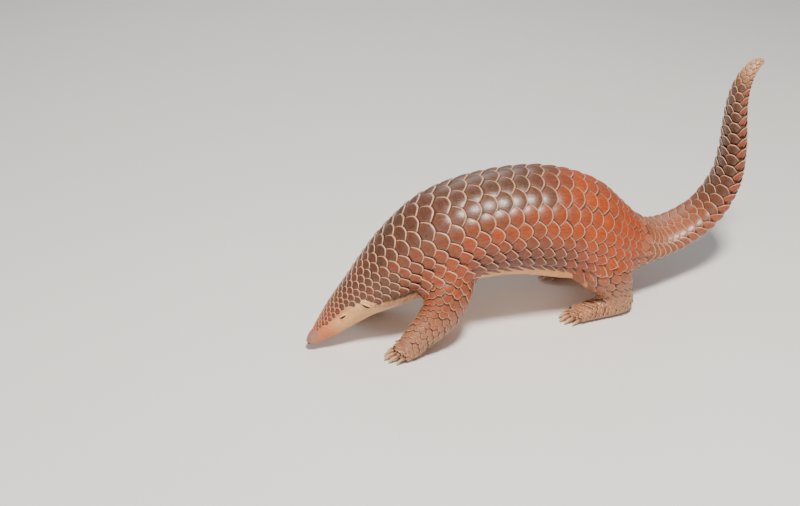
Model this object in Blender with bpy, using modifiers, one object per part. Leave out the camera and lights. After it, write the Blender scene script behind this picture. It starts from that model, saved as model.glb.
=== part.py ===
"""A life-size standing pangolin: head low, back arched, tail swept up behind.

The head points to -X, the left flank to -Y, and the soles stand on z = 0. The body is made whole, as one
loft along the spine with four legs grown into it, and is then parted by thin plane cuts into its named
parts. Its surface is the outer face of the scales.
"""

import math

import bmesh
import bpy
from mathutils import Matrix, Vector

# Driving dimensions, in metres. X is measured from the nose tip, and moved to the middle when placed.
MIDDLE_X = 0.3273
GAP = 0.0003
FLOOR_DEPTH = 0.05

# Stations along the spine: name, x, height of the centre, half height, half width.
SPINE = (
    ("nose", 0.003, 0.0150, 0.0075, 0.0085),
    ("muzzle", 0.023, 0.0290, 0.0165, 0.0160),
    ("eyes", 0.046, 0.0485, 0.0245, 0.0235),
    ("ears", 0.070, 0.0660, 0.0320, 0.0310),
    ("nape", 0.097, 0.0830, 0.0430, 0.0415),
    ("neck", 0.138, 0.1080, 0.0560, 0.0550),
    ("shoulders", 0.180, 0.1270, 0.0650, 0.0660),
    ("chest", 0.225, 0.1360, 0.0690, 0.0710),
    ("back", 0.272, 0.1360, 0.0720, 0.0740),
    ("loin", 0.320, 0.1290, 0.0750, 0.0770),
    ("hips", 0.366, 0.1140, 0.0740, 0.0780),
    ("rump", 0.404, 0.0960, 0.0660, 0.0730),
    ("croup", 0.436, 0.0840, 0.0535, 0.0625),
    ("tail_root", 0.468, 0.0750, 0.0380, 0.0520),
    ("tail_base", 0.503, 0.0700, 0.0230, 0.0440),
    ("tail_low", 0.544, 0.0765, 0.0185, 0.0385),
    ("tail_bend", 0.589, 0.0990, 0.0175, 0.0335),
    ("tail_rise", 0.617, 0.1410, 0.0168, 0.0290),
    ("tail_upright", 0.6225, 0.1830, 0.0158, 0.0255),
    ("tail_high", 0.620, 0.2230, 0.0142, 0.0222),
    ("tail_thin", 0.619, 0.2630, 0.0116, 0.0178),
    ("tail_hook", 0.6265, 0.2910, 0.0092, 0.0138),
    ("tail_curl", 0.6405, 0.3085, 0.0066, 0.0095),
    ("tail_tip", 0.6550, 0.3115, 0.0030, 0.0040),
)
RINGS_PER_STATION = 5
RING_POINTS = 40
BELLY_FLATNESS = 0.94
BELLY_CORNER = 0.04

# A leg is a chain of joints: x, distance from the middle plane, height, half depth along X, half width.
FORELEG = (
    (0.176, 0.038, 0.108, 0.036, 0.030),
    (0.170, 0.054, 0.080, 0.032, 0.025),
    (0.160, 0.060, 0.058, 0.028, 0.0225),
    (0.144, 0.061, 0.040, 0.0235, 0.0200),
    (0.126, 0.061, 0.026, 0.0185, 0.0180),
    (0.113, 0.061, 0.012, 0.0155, 0.0170),
    (0.103, 0.061, 0.007, 0.0110, 0.0160),
)
HIND_LEG = (
    (0.388, 0.036, 0.090, 0.044, 0.034),
    (0.396, 0.051, 0.070, 0.038, 0.030),
    (0.409, 0.058, 0.052, 0.0300, 0.0240),
    (0.416, 0.059, 0.036, 0.0235, 0.0195),
    (0.419, 0.059, 0.020, 0.0200, 0.0180),
    (0.419, 0.059, 0.008, 0.0190, 0.0175),
)
HIND_SOLE = (
    (0.437, 0.059, 0.008, 0.0080, 0.0120),
    (0.428, 0.059, 0.011, 0.0130, 0.0165),
    (0.404, 0.059, 0.011, 0.0135, 0.0175),
    (0.378, 0.058, 0.009, 0.0110, 0.0180),
    (0.358, 0.058, 0.007, 0.0085, 0.0175),
)
LEG_RING_POINTS = 24
LEG_RINGS_PER_JOINT = 4

# Toes fan out from the end of each foot. The first toe is the inner one.
TOE_SPREAD = 0.0069
TOE_SIZES = (0.62, 0.88, 1.00, 0.92, 0.68)
TOE_RADIUS = 0.0046
TOE_LENGTH = 0.010
TOE_FAN = math.radians(4)
TOE_SET_BACK = 0.0016
TOE_NARROW = 0.86
FORE_TOE_ROOT = (0.102, 0.061, 0.0062)
HIND_TOE_ROOT = (0.356, 0.058, 0.0058)
FORE_CLAW_LENGTH = 0.019
HIND_CLAW_LENGTH = 0.020
CLAW_HALF_HEIGHT = 0.0034
CLAW_HALF_WIDTH = 0.0025
CLAW_DROP = math.radians(34)
CLAW_RINGS = 4
CLAW_SIDES = 6
CLAW_IN_TOE = 0.0035
CLAW_LIFT = 0.0012
CLAW_TIP = 0.08

EYE = (0.0385, 0.0205, 0.0520)
EYE_RADIUS = 0.0042
EAR = (0.0665, 0.0300, 0.0675)
EAR_SIZE = (0.0032, 0.0050, 0.0075)
EAR_SPLAY = math.radians(32)
EAR_LEAN = math.radians(24)

# The other side's legs stand a little ahead or behind, as in a slow walk.
STRIDE_LOW = 0.015
STRIDE_HIGH = 0.090
STRIDE_LOST = 0.7
FAR_FORE_STEP = -0.018
FAR_HIND_STEP = 0.028

# Cuts across the spine, halfway between two stations.
HEAD_CUT = ("ears", "nape")
NECK_CUT = ("nape", "neck")
TAIL_CUT = ("tail_root", "tail_base")
TAIL_MIDDLE_CUT = ("tail_bend", "tail_rise")
TAIL_END_CUT = ("tail_high", "tail_thin")

# The region of each leg below the trunk: a tilted box under a point of the shoulder or hip, then a low box
# for the foot. In each: x and height of the top, tilt, half depth, height of the joint, foot from x to x.
FORELEG_REGION = (0.166, 0.078, math.radians(27), 0.040, 0.026, 0.060, 0.178)
HIND_LEG_REGION = (0.416, 0.064, math.radians(0), 0.043, 0.024, 0.330, 0.462)
INNER_LEG_Y = 0.021
OUTER_LEG_Y = 0.140

# Surface of the whole body before it is parted.
VOXEL = 0.0024
SMOOTH_STEPS = 8
FLESH_TRIANGLES = 3800

# Base colours, roughness.
COLOURS = {
    "scale_dark": ((0.115, 0.072, 0.052), 0.40),
    "scale_red": ((0.270, 0.085, 0.040), 0.42),
    "face_skin": ((0.480, 0.300, 0.195), 0.65),
    "foot_skin": ((0.380, 0.215, 0.140), 0.65),
    "tail_scale": ((0.270, 0.130, 0.085), 0.42),
    "claw": ((0.420, 0.215, 0.110), 0.40),
    "eye": ((0.010, 0.008, 0.007), 0.08),
}


def clear_scene():
    """Removes what the scene holds at the start."""
    for obj in list(bpy.context.scene.objects):
        bpy.data.objects.remove(obj, do_unlink=True)


def new_collection(name):
    """A new collection under the scene's own."""
    collection = bpy.data.collections.new(name)
    bpy.context.scene.collection.children.link(collection)
    return collection


def material(node, colour_name):
    """A Principled material of this node's own, in one of the named colours."""
    colour, roughness = COLOURS[colour_name]
    made = bpy.data.materials.new(node + "_" + colour_name)
    made.use_nodes = True
    shader = made.node_tree.nodes["Principled BSDF"]
    shader.inputs["Base Color"].default_value = (*colour, 1.0)
    shader.inputs["Roughness"].default_value = roughness
    shader.inputs["Metallic"].default_value = 0.0
    made.diffuse_color = (*colour, 1.0)
    return made


def add_object(name, mesh, collection):
    """An object of this mesh in the collection."""
    obj = bpy.data.objects.new(name, mesh)
    collection.objects.link(obj)
    return obj


def place(x, y, z):
    """A point given from the nose tip, moved so that the whole stands about the middle."""
    return Vector((x - MIDDLE_X, y, z))


def smooth_value(values, t):
    """Catmull-Rom interpolation of a row of vectors at t, in stations from the first."""
    last = len(values) - 1
    index = min(int(t), last - 1)
    f = t - index
    before = values[max(index - 1, 0)]
    here = values[index]
    ahead = values[index + 1]
    beyond = values[min(index + 2, last)]
    return tuple(
        0.5 * (2 * b + (c - a) * f + (2 * a - 5 * b + 4 * c - d) * f**2 + (3 * b - a - 3 * c + d) * f**3)
        for a, b, c, d in zip(before, here, ahead, beyond)
    )


def loft(rings):
    """A closed bmesh through rings of points, capped by a fan at each end."""
    mesh = bmesh.new()
    rows = [[mesh.verts.new(point) for point in ring] for ring in rings]
    count = len(rows[0])
    for row, following in zip(rows, rows[1:]):
        for i in range(count):
            j = (i + 1) % count
            mesh.faces.new((row[i], row[j], following[j], following[i]))
    for row in (rows[0], rows[-1]):
        centre = mesh.verts.new(sum((vert.co for vert in row), Vector()) / count)
        for i in range(count):
            mesh.faces.new((row[i], row[(i + 1) % count], centre))
    bmesh.ops.recalc_face_normals(mesh, faces=mesh.faces)
    return mesh


def as_mesh(name, made):
    """Turns a bmesh into a mesh and frees it."""
    mesh = bpy.data.meshes.new(name)
    made.to_mesh(mesh)
    made.free()
    return mesh


def joined_mesh(name, pieces):
    """One mesh that holds all the pieces, which are removed."""
    joined = bmesh.new()
    for piece in pieces:
        joined.from_mesh(piece)
        bpy.data.meshes.remove(piece)
    return as_mesh(name, joined)


def spine_at(t):
    """Centre, direction, up, half height and half width of the spine at t, in stations."""
    rows = [station[1:] for station in SPINE]
    x, z, half_height, half_width = smooth_value(rows, t)
    step = 0.05
    before = smooth_value(rows, max(t - step, 0.0))
    after = smooth_value(rows, min(t + step, len(rows) - 1.0))
    along = Vector((after[0] - before[0], 0, after[1] - before[1])).normalized()
    up = Vector((-along.z, 0, along.x))
    return place(x, 0, z), along, up, half_height, half_width


def spine_ring(t):
    """The cross-section of head, trunk or tail at t: an ellipse with a slightly flat underside."""
    centre, _, up, half_height, half_width = spine_at(t)
    ring = []
    for i in range(RING_POINTS):
        angle = 2 * math.pi * i / RING_POINTS
        lift = math.cos(angle)
        if lift < 0:
            lift *= BELLY_FLATNESS + BELLY_CORNER * abs(math.sin(angle))
        ring.append(centre + up * (half_height * lift) + Vector((0, half_width * math.sin(angle), 0)))
    return ring


def body_loft():
    """Head, trunk and tail as one loft along the spine."""
    steps = (len(SPINE) - 1) * RINGS_PER_STATION
    return as_mesh("whole_body", loft([spine_ring(i / RINGS_PER_STATION) for i in range(steps + 1)]))


def stride(height):
    """How much of a leg's step a point at this height takes: all of it at the foot, little at the trunk."""
    return 1.0 - STRIDE_LOST * min(max((height - STRIDE_LOW) / (STRIDE_HIGH - STRIDE_LOW), 0.0), 1.0)


def limb(name, joints, side, step):
    """A tube through the joints of one leg or sole. Side is -1 for the left. Step moves it along X."""
    joints = [(x + step * stride(z), y, z, depth, width) for x, y, z, depth, width in joints]
    centres = [place(x, side * y, z) for x, y, z, _, _ in joints]
    steps = (len(joints) - 1) * LEG_RINGS_PER_JOINT
    rings = []
    for i in range(steps + 1):
        t = i / LEG_RINGS_PER_JOINT
        x, y, z, half_depth, half_width = smooth_value(joints, t)
        near = min(max(int(t), 0), len(joints) - 2)
        along = (centres[near + 1] - centres[near]).normalized()
        if 0 < near and t - near < 0.5:
            along = (along + (centres[near] - centres[near - 1]).normalized()).normalized()
        across = Vector((0, 1, 0))
        deep = across.cross(along).normalized()
        across = along.cross(deep)
        centre = place(x, side * y, z)
        ring = []
        for k in range(LEG_RING_POINTS):
            angle = 2 * math.pi * k / LEG_RING_POINTS
            offset = deep * (half_depth * math.cos(angle)) + across * (half_width * math.sin(angle))
            ring.append(centre + offset)
        rings.append(ring)
    return as_mesh(name, loft(rings))


def toe_frames(root, side, step):
    """Start point, heading and size of each of the five toes of one foot."""
    frames = []
    for i, size in enumerate(TOE_SIZES):
        place_across = i - 2
        heading = Vector((-math.cos(TOE_FAN * place_across), side * math.sin(TOE_FAN * place_across), 0))
        set_back = TOE_SET_BACK * place_across**2
        x, y, z = root
        start = place(x + step + set_back, side * (y + TOE_SPREAD * place_across), z)
        frames.append((start, heading, size))
    return frames


def toe_scale(size):
    """Toes differ less in girth than their claws do."""
    return 0.75 + 0.25 * size


def toe(name, start, heading, size):
    """One short toe: a round ended bar from inside the foot to the claw."""
    made = bmesh.new()
    bmesh.ops.create_uvsphere(made, u_segments=12, v_segments=8, radius=TOE_RADIUS)
    bmesh.ops.scale(made, vec=(TOE_LENGTH / TOE_RADIUS, TOE_NARROW, 1.0), verts=made.verts)
    turn = Vector((-1, 0, 0)).rotation_difference(heading).to_matrix().to_4x4()
    scale = Matrix.Scale(toe_scale(size), 4)
    bmesh.ops.transform(made, matrix=Matrix.Translation(start) @ turn @ scale, verts=made.verts)
    return as_mesh(name, made)


def claw(start, heading, length, size, grow):
    """A bmesh of one claw that curves down from its toe. Grow widens it, for the socket it sits in."""
    down = Vector((0, 0, -1))
    length *= 0.45 + 0.55 * size
    point = start + heading * (TOE_LENGTH * toe_scale(size) - CLAW_IN_TOE - grow)
    point += Vector((0, 0, CLAW_LIFT))
    rings = []
    for i in range(CLAW_RINGS + 1):
        f = i / CLAW_RINGS
        bend = CLAW_DROP * f
        along = heading * math.cos(bend) + down * math.sin(bend)
        up = along.cross(heading.cross(down)).normalized()
        if up.z < 0:
            up = -up
        across = along.cross(up)
        thin = math.sqrt(1 - f**2) * (1 - CLAW_TIP) + CLAW_TIP
        half_height = CLAW_HALF_HEIGHT * size * thin + grow
        half_width = CLAW_HALF_WIDTH * size * thin + grow
        ring = []
        for k in range(CLAW_SIDES):
            angle = 2 * math.pi * k / CLAW_SIDES
            offset = up * (half_height * math.cos(angle)) + across * (half_width * math.sin(angle))
            ring.append(point + offset)
        rings.append(ring)
        point = point + along * ((length + 2 * grow) / CLAW_RINGS)
    return loft(rings)


def ellipsoid(name, centre, radii, turn):
    """A smooth ellipsoid at this centre, turned by a rotation matrix."""
    made = bmesh.new()
    bmesh.ops.create_uvsphere(made, u_segments=12, v_segments=8, radius=1.0)
    bmesh.ops.scale(made, vec=radii, verts=made.verts)
    bmesh.ops.transform(made, matrix=Matrix.Translation(centre) @ turn, verts=made.verts)
    return as_mesh(name, made)


def half_space(name, point, direction, collection):
    """A large box cutter whose one face passes through the point, with the box on the side of direction."""
    size = 2.0
    made = bmesh.new()
    bmesh.ops.create_cube(made, size=size)
    turn = Vector((0, 0, 1)).rotation_difference(direction).to_matrix().to_4x4()
    centre = point + direction * (size / 2)
    bmesh.ops.transform(made, matrix=Matrix.Translation(centre) @ turn, verts=made.verts)
    return as_cutter(add_object(name, as_mesh(name, made), collection))


def box(name, low, high, collection):
    """A box cutter between two corners."""
    made = bmesh.new()
    bmesh.ops.create_cube(made, size=1.0)
    bmesh.ops.scale(made, vec=high - low, verts=made.verts)
    bmesh.ops.translate(made, vec=(low + high) / 2, verts=made.verts)
    return as_cutter(add_object(name, as_mesh(name, made), collection))


def as_cutter(obj):
    """Marks an object as a helper that isn't part of the model."""
    obj.hide_render = True
    obj.display_type = "WIRE"
    return obj


def boolean(obj, operation, other):
    """Adds a Boolean modifier."""
    modifier = obj.modifiers.new(operation.lower() + "_" + other.name, "BOOLEAN")
    modifier.operation = operation
    modifier.solver = "EXACT"
    modifier.object = other


def evaluated_mesh(obj, name):
    """The object's mesh with its modifiers applied."""
    graph = bpy.context.evaluated_depsgraph_get()
    mesh = bpy.data.meshes.new_from_object(obj.evaluated_get(graph))
    mesh.name = name
    return mesh


def whole_flesh(helpers):
    """The whole animal but for claws, eyes and ears, as one smooth closed mesh with flat soles."""
    pieces = [body_loft()]
    for side, side_name in ((-1, "left"), (1, "right")):
        fore_step = FAR_FORE_STEP if side > 0 else 0.0
        hind_step = FAR_HIND_STEP if side > 0 else 0.0
        pieces.append(limb("foreleg_tube_" + side_name, FORELEG, side, fore_step))
        pieces.append(limb("hind_leg_tube_" + side_name, HIND_LEG, side, hind_step))
        pieces.append(limb("hind_sole_tube_" + side_name, HIND_SOLE, side, hind_step))
        for kind, root, step in (("fore", FORE_TOE_ROOT, fore_step), ("hind", HIND_TOE_ROOT, hind_step)):
            for i, frame in enumerate(toe_frames(root, side, step)):
                pieces.append(toe("%s_toe_%s_%d" % (kind, side_name, i + 1), *frame))
    body = as_cutter(add_object("whole_body", joined_mesh("whole_body", pieces), helpers))
    remesh = body.modifiers.new("one_surface", "REMESH")
    remesh.mode = "VOXEL"
    remesh.voxel_size = VOXEL
    smooth = body.modifiers.new("even_out", "SMOOTH")
    smooth.iterations = SMOOTH_STEPS
    bpy.context.view_layer.update()
    fine = evaluated_mesh(body, "fine_flesh")
    fine.calc_loop_triangles()
    flesh = as_cutter(add_object("flesh", fine, helpers))
    decimate = flesh.modifiers.new("fewer_faces", "DECIMATE")
    decimate.ratio = FLESH_TRIANGLES / len(fine.loop_triangles)
    floor = box("floor_trim", Vector((-1, -1, -FLOOR_DEPTH)), Vector((1, 1, 0)), helpers)
    boolean(flesh, "DIFFERENCE", floor)
    bpy.context.view_layer.update()
    return evaluated_mesh(flesh, "flesh_mesh")


def spine_cut(names):
    """Point and direction of the cut halfway between two stations."""
    order = [station[0] for station in SPINE]
    centre, along, _, _, _ = spine_at((order.index(names[0]) + order.index(names[1])) / 2)
    return centre, along


def flesh_part(name, mesh, colour_name, parts):
    """A copy of the whole flesh, to be cut down to one part."""
    obj = add_object(name, mesh.copy(), parts)
    obj.data.name = name
    obj.data.materials.clear()
    obj.data.materials.append(material(name, colour_name))
    return obj


def leg_box(name, side, top_x, top_z, tilt, half_depth, helpers, grow):
    """The tilted box that holds one leg, down from its junction with the trunk."""
    inner = side * (INNER_LEG_Y - grow)
    outer = side * OUTER_LEG_Y
    low = Vector((-half_depth - grow, min(inner, outer), -0.2))
    high = Vector((half_depth + grow, max(inner, outer), grow))
    region = box(name, low, high, helpers)
    region.data.transform(Matrix.Translation(place(top_x, 0, top_z)) @ Matrix.Rotation(tilt, 4, "Y"))
    return region


def foot_box(name, side, low_x, high_x, top, helpers, grow):
    """The low box that holds one foot."""
    inner = side * (INNER_LEG_Y - grow)
    outer = side * OUTER_LEG_Y
    low = place(low_x - grow, min(inner, outer), -0.02)
    high = place(high_x + grow, max(inner, outer), top)
    return box(name, low, high, helpers)


def keep_between(obj, start, end, helpers):
    """Cuts a part down to the stretch of spine between two cuts, half a gap clear of each."""
    if start:
        point, along = spine_cut(start)
        cutter = half_space(obj.name + "_front_cut", point + along * (GAP / 2), along, helpers)
        boolean(obj, "INTERSECT", cutter)
    if end:
        point, along = spine_cut(end)
        cutter = half_space(obj.name + "_back_cut", point - along * (GAP / 2), -along, helpers)
        boolean(obj, "INTERSECT", cutter)


def make_parts(mesh, parts, helpers):
    """Parts the flesh into head, neck, trunk, tail and legs. Returns them by name."""
    made = {}
    for name, colour_name, start, end in (
        ("head", "face_skin", None, HEAD_CUT),
        ("neck", "scale_dark", HEAD_CUT, NECK_CUT),
        ("trunk", "scale_dark", NECK_CUT, TAIL_CUT),
        ("tail_base", "tail_scale", TAIL_CUT, TAIL_MIDDLE_CUT),
        ("tail_middle", "tail_scale", TAIL_MIDDLE_CUT, TAIL_END_CUT),
        ("tail_end", "tail_scale", TAIL_END_CUT, None),
    ):
        made[name] = flesh_part(name, mesh, colour_name, parts)
        keep_between(made[name], start, end, helpers)
    for side, side_name in ((-1, "left"), (1, "right")):
        fore_step = FAR_FORE_STEP if side > 0 else 0.0
        hind_step = FAR_HIND_STEP if side > 0 else 0.0
        for kind, region, step, neighbours in (
            ("fore", FORELEG_REGION, fore_step, ("head", "neck", "trunk")),
            ("hind", HIND_LEG_REGION, hind_step, ("trunk",)),
        ):
            top_x, top_z, tilt, half_depth, joint, foot_low_x, foot_high_x = region
            leg_name = "%sleg_%s" % (kind, side_name)
            foot_name = "%sfoot_%s" % (kind, side_name)
            leg_step = step * stride((top_z + joint) / 2)
            leg_place = (side, top_x + leg_step, top_z, tilt, half_depth, helpers)
            foot_place = (side, foot_low_x + step, foot_high_x + step, joint - GAP / 2, helpers)
            hollows = (
                leg_box(leg_name + "_clear", *leg_place, GAP),
                foot_box(foot_name + "_clear", *foot_place, GAP),
            )
            for neighbour in neighbours:
                for hollow in hollows:
                    boolean(made[neighbour], "DIFFERENCE", hollow)
            made[leg_name] = flesh_part(leg_name, mesh, "scale_red", parts)
            boolean(made[leg_name], "INTERSECT", leg_box(leg_name + "_region", *leg_place, 0.0))
            joint_point = Vector((0, 0, joint + GAP / 2))
            above = half_space(leg_name + "_joint", joint_point, Vector((0, 0, 1)), helpers)
            boolean(made[leg_name], "INTERSECT", above)
            made[foot_name] = flesh_part(foot_name, mesh, "foot_skin", parts)
            boolean(made[foot_name], "INTERSECT", foot_box(foot_name + "_region", *foot_place, 0.0))
    return made


def cut_sockets(obj, sockets, helpers):
    """Cuts all the sockets of one part in a single step, through a cutter that joins them."""
    name = obj.name + "_sockets"
    boolean(obj, "DIFFERENCE", as_cutter(add_object(name, joined_mesh(name, sockets), helpers)))


def make_claws(made, parts, helpers):
    """Five claws on each foot, each set in a socket cut into its toe."""
    for side, side_name in ((-1, "left"), (1, "right")):
        for kind, root, step, length in (
            ("fore", FORE_TOE_ROOT, FAR_FORE_STEP if side > 0 else 0.0, FORE_CLAW_LENGTH),
            ("hind", HIND_TOE_ROOT, FAR_HIND_STEP if side > 0 else 0.0, HIND_CLAW_LENGTH),
        ):
            sockets = []
            for i, (start, heading, size) in enumerate(toe_frames(root, side, step)):
                name = "%sclaw_%s_%d" % (kind, side_name, i + 1)
                obj = add_object(name, as_mesh(name, claw(start, heading, length, size, 0.0)), parts)
                obj.data.materials.append(material(name, "claw"))
                sockets.append(as_mesh(name + "_socket", claw(start, heading, length, size, GAP)))
            cut_sockets(made["%sfoot_%s" % (kind, side_name)], sockets, helpers)


def make_eyes_and_ears(made, parts, helpers):
    """Round eyes and short thick ear rims, each set in a socket cut into the head."""
    sockets = []
    for side, side_name in ((-1, "left"), (1, "right")):
        ear_turn = Matrix.Rotation(-side * EAR_SPLAY, 4, "Z") @ Matrix.Rotation(-EAR_LEAN, 4, "Y")
        for kind, (x, y, z), radii, turn, colour_name in (
            ("eye", EYE, (EYE_RADIUS,) * 3, Matrix.Identity(4), "eye"),
            ("ear", EAR, EAR_SIZE, ear_turn, "face_skin"),
        ):
            centre = place(x, side * y, z)
            name = "%s_%s" % (kind, side_name)
            obj = add_object(name, ellipsoid(name, centre, radii, turn), parts)
            obj.data.materials.append(material(name, colour_name))
            grown = tuple(radius + GAP for radius in radii)
            sockets.append(ellipsoid(name + "_socket", centre, grown, turn))
    cut_sockets(made["head"], sockets, helpers)


def main():
    """Builds the pangolin."""
    clear_scene()
    parts = new_collection("pangolin")
    helpers = new_collection("helpers")
    mesh = whole_flesh(helpers)
    made = make_parts(mesh, parts, helpers)
    make_claws(made, parts, helpers)
    make_eyes_and_ears(made, parts, helpers)
    for obj in parts.objects:
        obj.data.shade_smooth()


main()
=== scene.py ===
"""Looks for a life-size standing pangolin: one skin under a coat of solid scales, with claws and eyes.

The head points to -X, the left flank to -Y. Lengths are in metres, and angles round the body are measured
from the top of the back.
"""

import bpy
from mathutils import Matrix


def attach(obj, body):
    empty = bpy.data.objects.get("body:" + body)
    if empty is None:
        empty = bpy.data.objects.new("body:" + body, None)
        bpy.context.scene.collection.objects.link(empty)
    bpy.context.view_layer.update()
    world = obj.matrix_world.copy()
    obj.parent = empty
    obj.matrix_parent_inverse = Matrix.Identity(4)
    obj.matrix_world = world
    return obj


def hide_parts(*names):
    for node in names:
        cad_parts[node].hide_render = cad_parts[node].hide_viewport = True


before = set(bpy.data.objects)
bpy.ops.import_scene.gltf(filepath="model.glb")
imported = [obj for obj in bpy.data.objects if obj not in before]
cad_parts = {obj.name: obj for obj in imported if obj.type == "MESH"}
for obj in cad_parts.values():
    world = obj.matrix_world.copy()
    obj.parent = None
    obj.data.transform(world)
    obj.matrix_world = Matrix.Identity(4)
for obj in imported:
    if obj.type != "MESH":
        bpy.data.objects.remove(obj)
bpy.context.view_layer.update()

import math

import bmesh
import bpy
import numpy as np
from mathutils import Vector
from mathutils.bvhtree import BVHTree
from mathutils.noise import noise as value_noise

SEED = 7
MM = 0.001

# The same stations as the solids: name, x from the nose, centre height, half height, half width.
MIDDLE_X = 0.3273
SPINE = (
    ("nose", 0.003, 0.0150, 0.0075, 0.0085),
    ("muzzle", 0.023, 0.0290, 0.0165, 0.0160),
    ("eyes", 0.046, 0.0485, 0.0245, 0.0235),
    ("ears", 0.070, 0.0660, 0.0320, 0.0310),
    ("nape", 0.097, 0.0830, 0.0430, 0.0415),
    ("neck", 0.138, 0.1080, 0.0560, 0.0550),
    ("shoulders", 0.180, 0.1270, 0.0650, 0.0660),
    ("chest", 0.225, 0.1360, 0.0690, 0.0710),
    ("back", 0.272, 0.1360, 0.0720, 0.0740),
    ("loin", 0.320, 0.1290, 0.0750, 0.0770),
    ("hips", 0.366, 0.1140, 0.0740, 0.0780),
    ("rump", 0.404, 0.0960, 0.0660, 0.0730),
    ("croup", 0.436, 0.0840, 0.0535, 0.0625),
    ("tail_root", 0.468, 0.0750, 0.0380, 0.0520),
    ("tail_base", 0.503, 0.0700, 0.0230, 0.0440),
    ("tail_low", 0.544, 0.0765, 0.0185, 0.0385),
    ("tail_bend", 0.589, 0.0990, 0.0175, 0.0335),
    ("tail_rise", 0.617, 0.1410, 0.0168, 0.0290),
    ("tail_upright", 0.6225, 0.1830, 0.0158, 0.0255),
    ("tail_high", 0.620, 0.2230, 0.0142, 0.0222),
    ("tail_thin", 0.619, 0.2630, 0.0116, 0.0178),
    ("tail_hook", 0.6265, 0.2910, 0.0092, 0.0138),
    ("tail_curl", 0.6405, 0.3085, 0.0066, 0.0095),
    ("tail_tip", 0.6550, 0.3115, 0.0030, 0.0040),
)
STATION = {row[0]: i for i, row in enumerate(SPINE)}
BELLY_FLATNESS = 0.94
BELLY_CORNER = 0.04
FORELEG = (
    (0.176, 0.038, 0.108, 0.036, 0.030),
    (0.170, 0.054, 0.080, 0.032, 0.025),
    (0.160, 0.060, 0.058, 0.028, 0.0225),
    (0.144, 0.061, 0.040, 0.0235, 0.0200),
    (0.126, 0.061, 0.026, 0.0185, 0.0180),
    (0.113, 0.061, 0.012, 0.0155, 0.0170),
    (0.103, 0.061, 0.007, 0.0110, 0.0160),
)
HIND_LEG = (
    (0.388, 0.036, 0.090, 0.044, 0.034),
    (0.396, 0.051, 0.070, 0.038, 0.030),
    (0.409, 0.058, 0.052, 0.0300, 0.0240),
    (0.416, 0.059, 0.036, 0.0235, 0.0195),
    (0.419, 0.059, 0.020, 0.0200, 0.0180),
    (0.419, 0.059, 0.008, 0.0190, 0.0175),
)
HIND_SOLE = (
    (0.437, 0.059, 0.008, 0.0080, 0.0120),
    (0.428, 0.059, 0.011, 0.0130, 0.0165),
    (0.404, 0.059, 0.011, 0.0135, 0.0175),
    (0.378, 0.058, 0.009, 0.0110, 0.0180),
    (0.358, 0.058, 0.007, 0.0085, 0.0175),
)
STRIDE_LOW = 0.015
STRIDE_HIGH = 0.090
STRIDE_LOST = 0.7
FAR_FORE_STEP = -0.018
FAR_HIND_STEP = 0.028

# Half the distance between two rings of scales in millimetres, at stations of the spine.
BODY_STEP = {
    "nose": 3.0,
    "muzzle": 3.3,
    "eyes": 3.7,
    "ears": 4.5,
    "nape": 6.0,
    "neck": 7.8,
    "shoulders": 8.7,
    "chest": 8.9,
    "back": 8.9,
    "loin": 8.7,
    "hips": 8.4,
    "rump": 8.2,
    "croup": 8.0,
    "tail_root": 7.6,
}
TAIL_STEP = {
    "tail_root": 4.9,
    "tail_base": 5.2,
    "tail_low": 6.8,
    "tail_bend": 8.2,
    "tail_rise": 8.4,
    "tail_upright": 8.2,
    "tail_high": 7.6,
    "tail_thin": 6.2,
    "tail_hook": 4.8,
    "tail_curl": 3.6,
    "tail_tip": 2.8,
}
# Angles of the nine rows from the back's middle down one side, on the trunk and on the head, in degrees.
TRUNK_ROWS = (0, 20, 40, 59, 75, 88, 99.5, 111, 122)
HEAD_ROWS = (0, 15, 30, 45, 60, 75, 90, 105, 120)
HEAD_ROWS_END = 0.078
TRUNK_ROWS_START = 0.150
BODY_ROWS = 17
TAIL_ROWS = 8
LEG_ROWS = 16
# A scale's half width against the distance between rows, and where its outline starts to draw back.
HALF_WIDTH = 0.74
PATCH_SHARE = 0.92
SHOULDER = 0.34
TAIL_SQUASH = 0.52
# The lowest angle that scales reach, by x from the nose.
COAT_EDGE = (
    (0.010, 14), (0.014, 28), (0.026, 45), (0.036, 50), (0.050, 56), (0.060, 60), (0.070, 66),
    (0.082, 92), (0.100, 104), (0.140, 114), (0.180, 124), (0.480, 128),
)

COAT_START = 0.0115

# How deep the skin lies under the outer face of the coat.
TRUNK_DEPTH = 5.6 * MM
HEAD_DEPTH = 1.9 * MM
TAIL_DEPTH = 3.4 * MM
LEG_DEPTH = 2.0 * MM
BARE_DEPTH = 0.5 * MM

SKIN_VOXEL = 3.0 * MM

# How far outside a tube its real surface is looked for.
SPINE_FIT = 0.016
LEG_FIT = 0.018
TOE_FIT = 9.0 * MM

# Places on the left half of the head: x from the nose, distance from the middle, height.
EYE = (0.0385, 0.0205, 0.0520)
EYE_RADIUS = 4.9 * MM
EYE_SUNK = 3.2 * MM
EYE_TILT = math.radians(-13)
CORNEA_RISE = 0.035
PLUG_RADIUS = 5.6 * MM
PLUG_OUT = 1.4 * MM
PLUG_IN = 6.0 * MM
LID_THICK = 0.55 * MM
LID_HALF_LENGTH = 5.0 * MM
LID_UPPER = 1.15 * MM
LID_LOWER = 1.20 * MM
EAR = (0.0665, 0.0300, 0.0675)
EAR_TILT = math.radians(-65)
EAR_HALF_LENGTH = 6.2 * MM
EAR_HALF_WIDTH = 1.5 * MM
EAR_DEEP = 4.5 * MM
NOSE_REACH = 6.5 * MM
NOSE_ROOT = 13.0 * MM
PAD_RADIUS = 8.2 * MM
PAD_RISE = 3.4 * MM
NOSTRIL_AIM = (0.72, 0.62, 0.15)
NOSTRIL_APART = 4.4 * MM
NOSTRIL_UP = 1.2 * MM
NOSTRIL_SIZE = (1.7 * MM, 1.15 * MM)
NOSTRIL_DEEP = 2.4 * MM
MOUTH_START = (0.004, 160)
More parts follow.
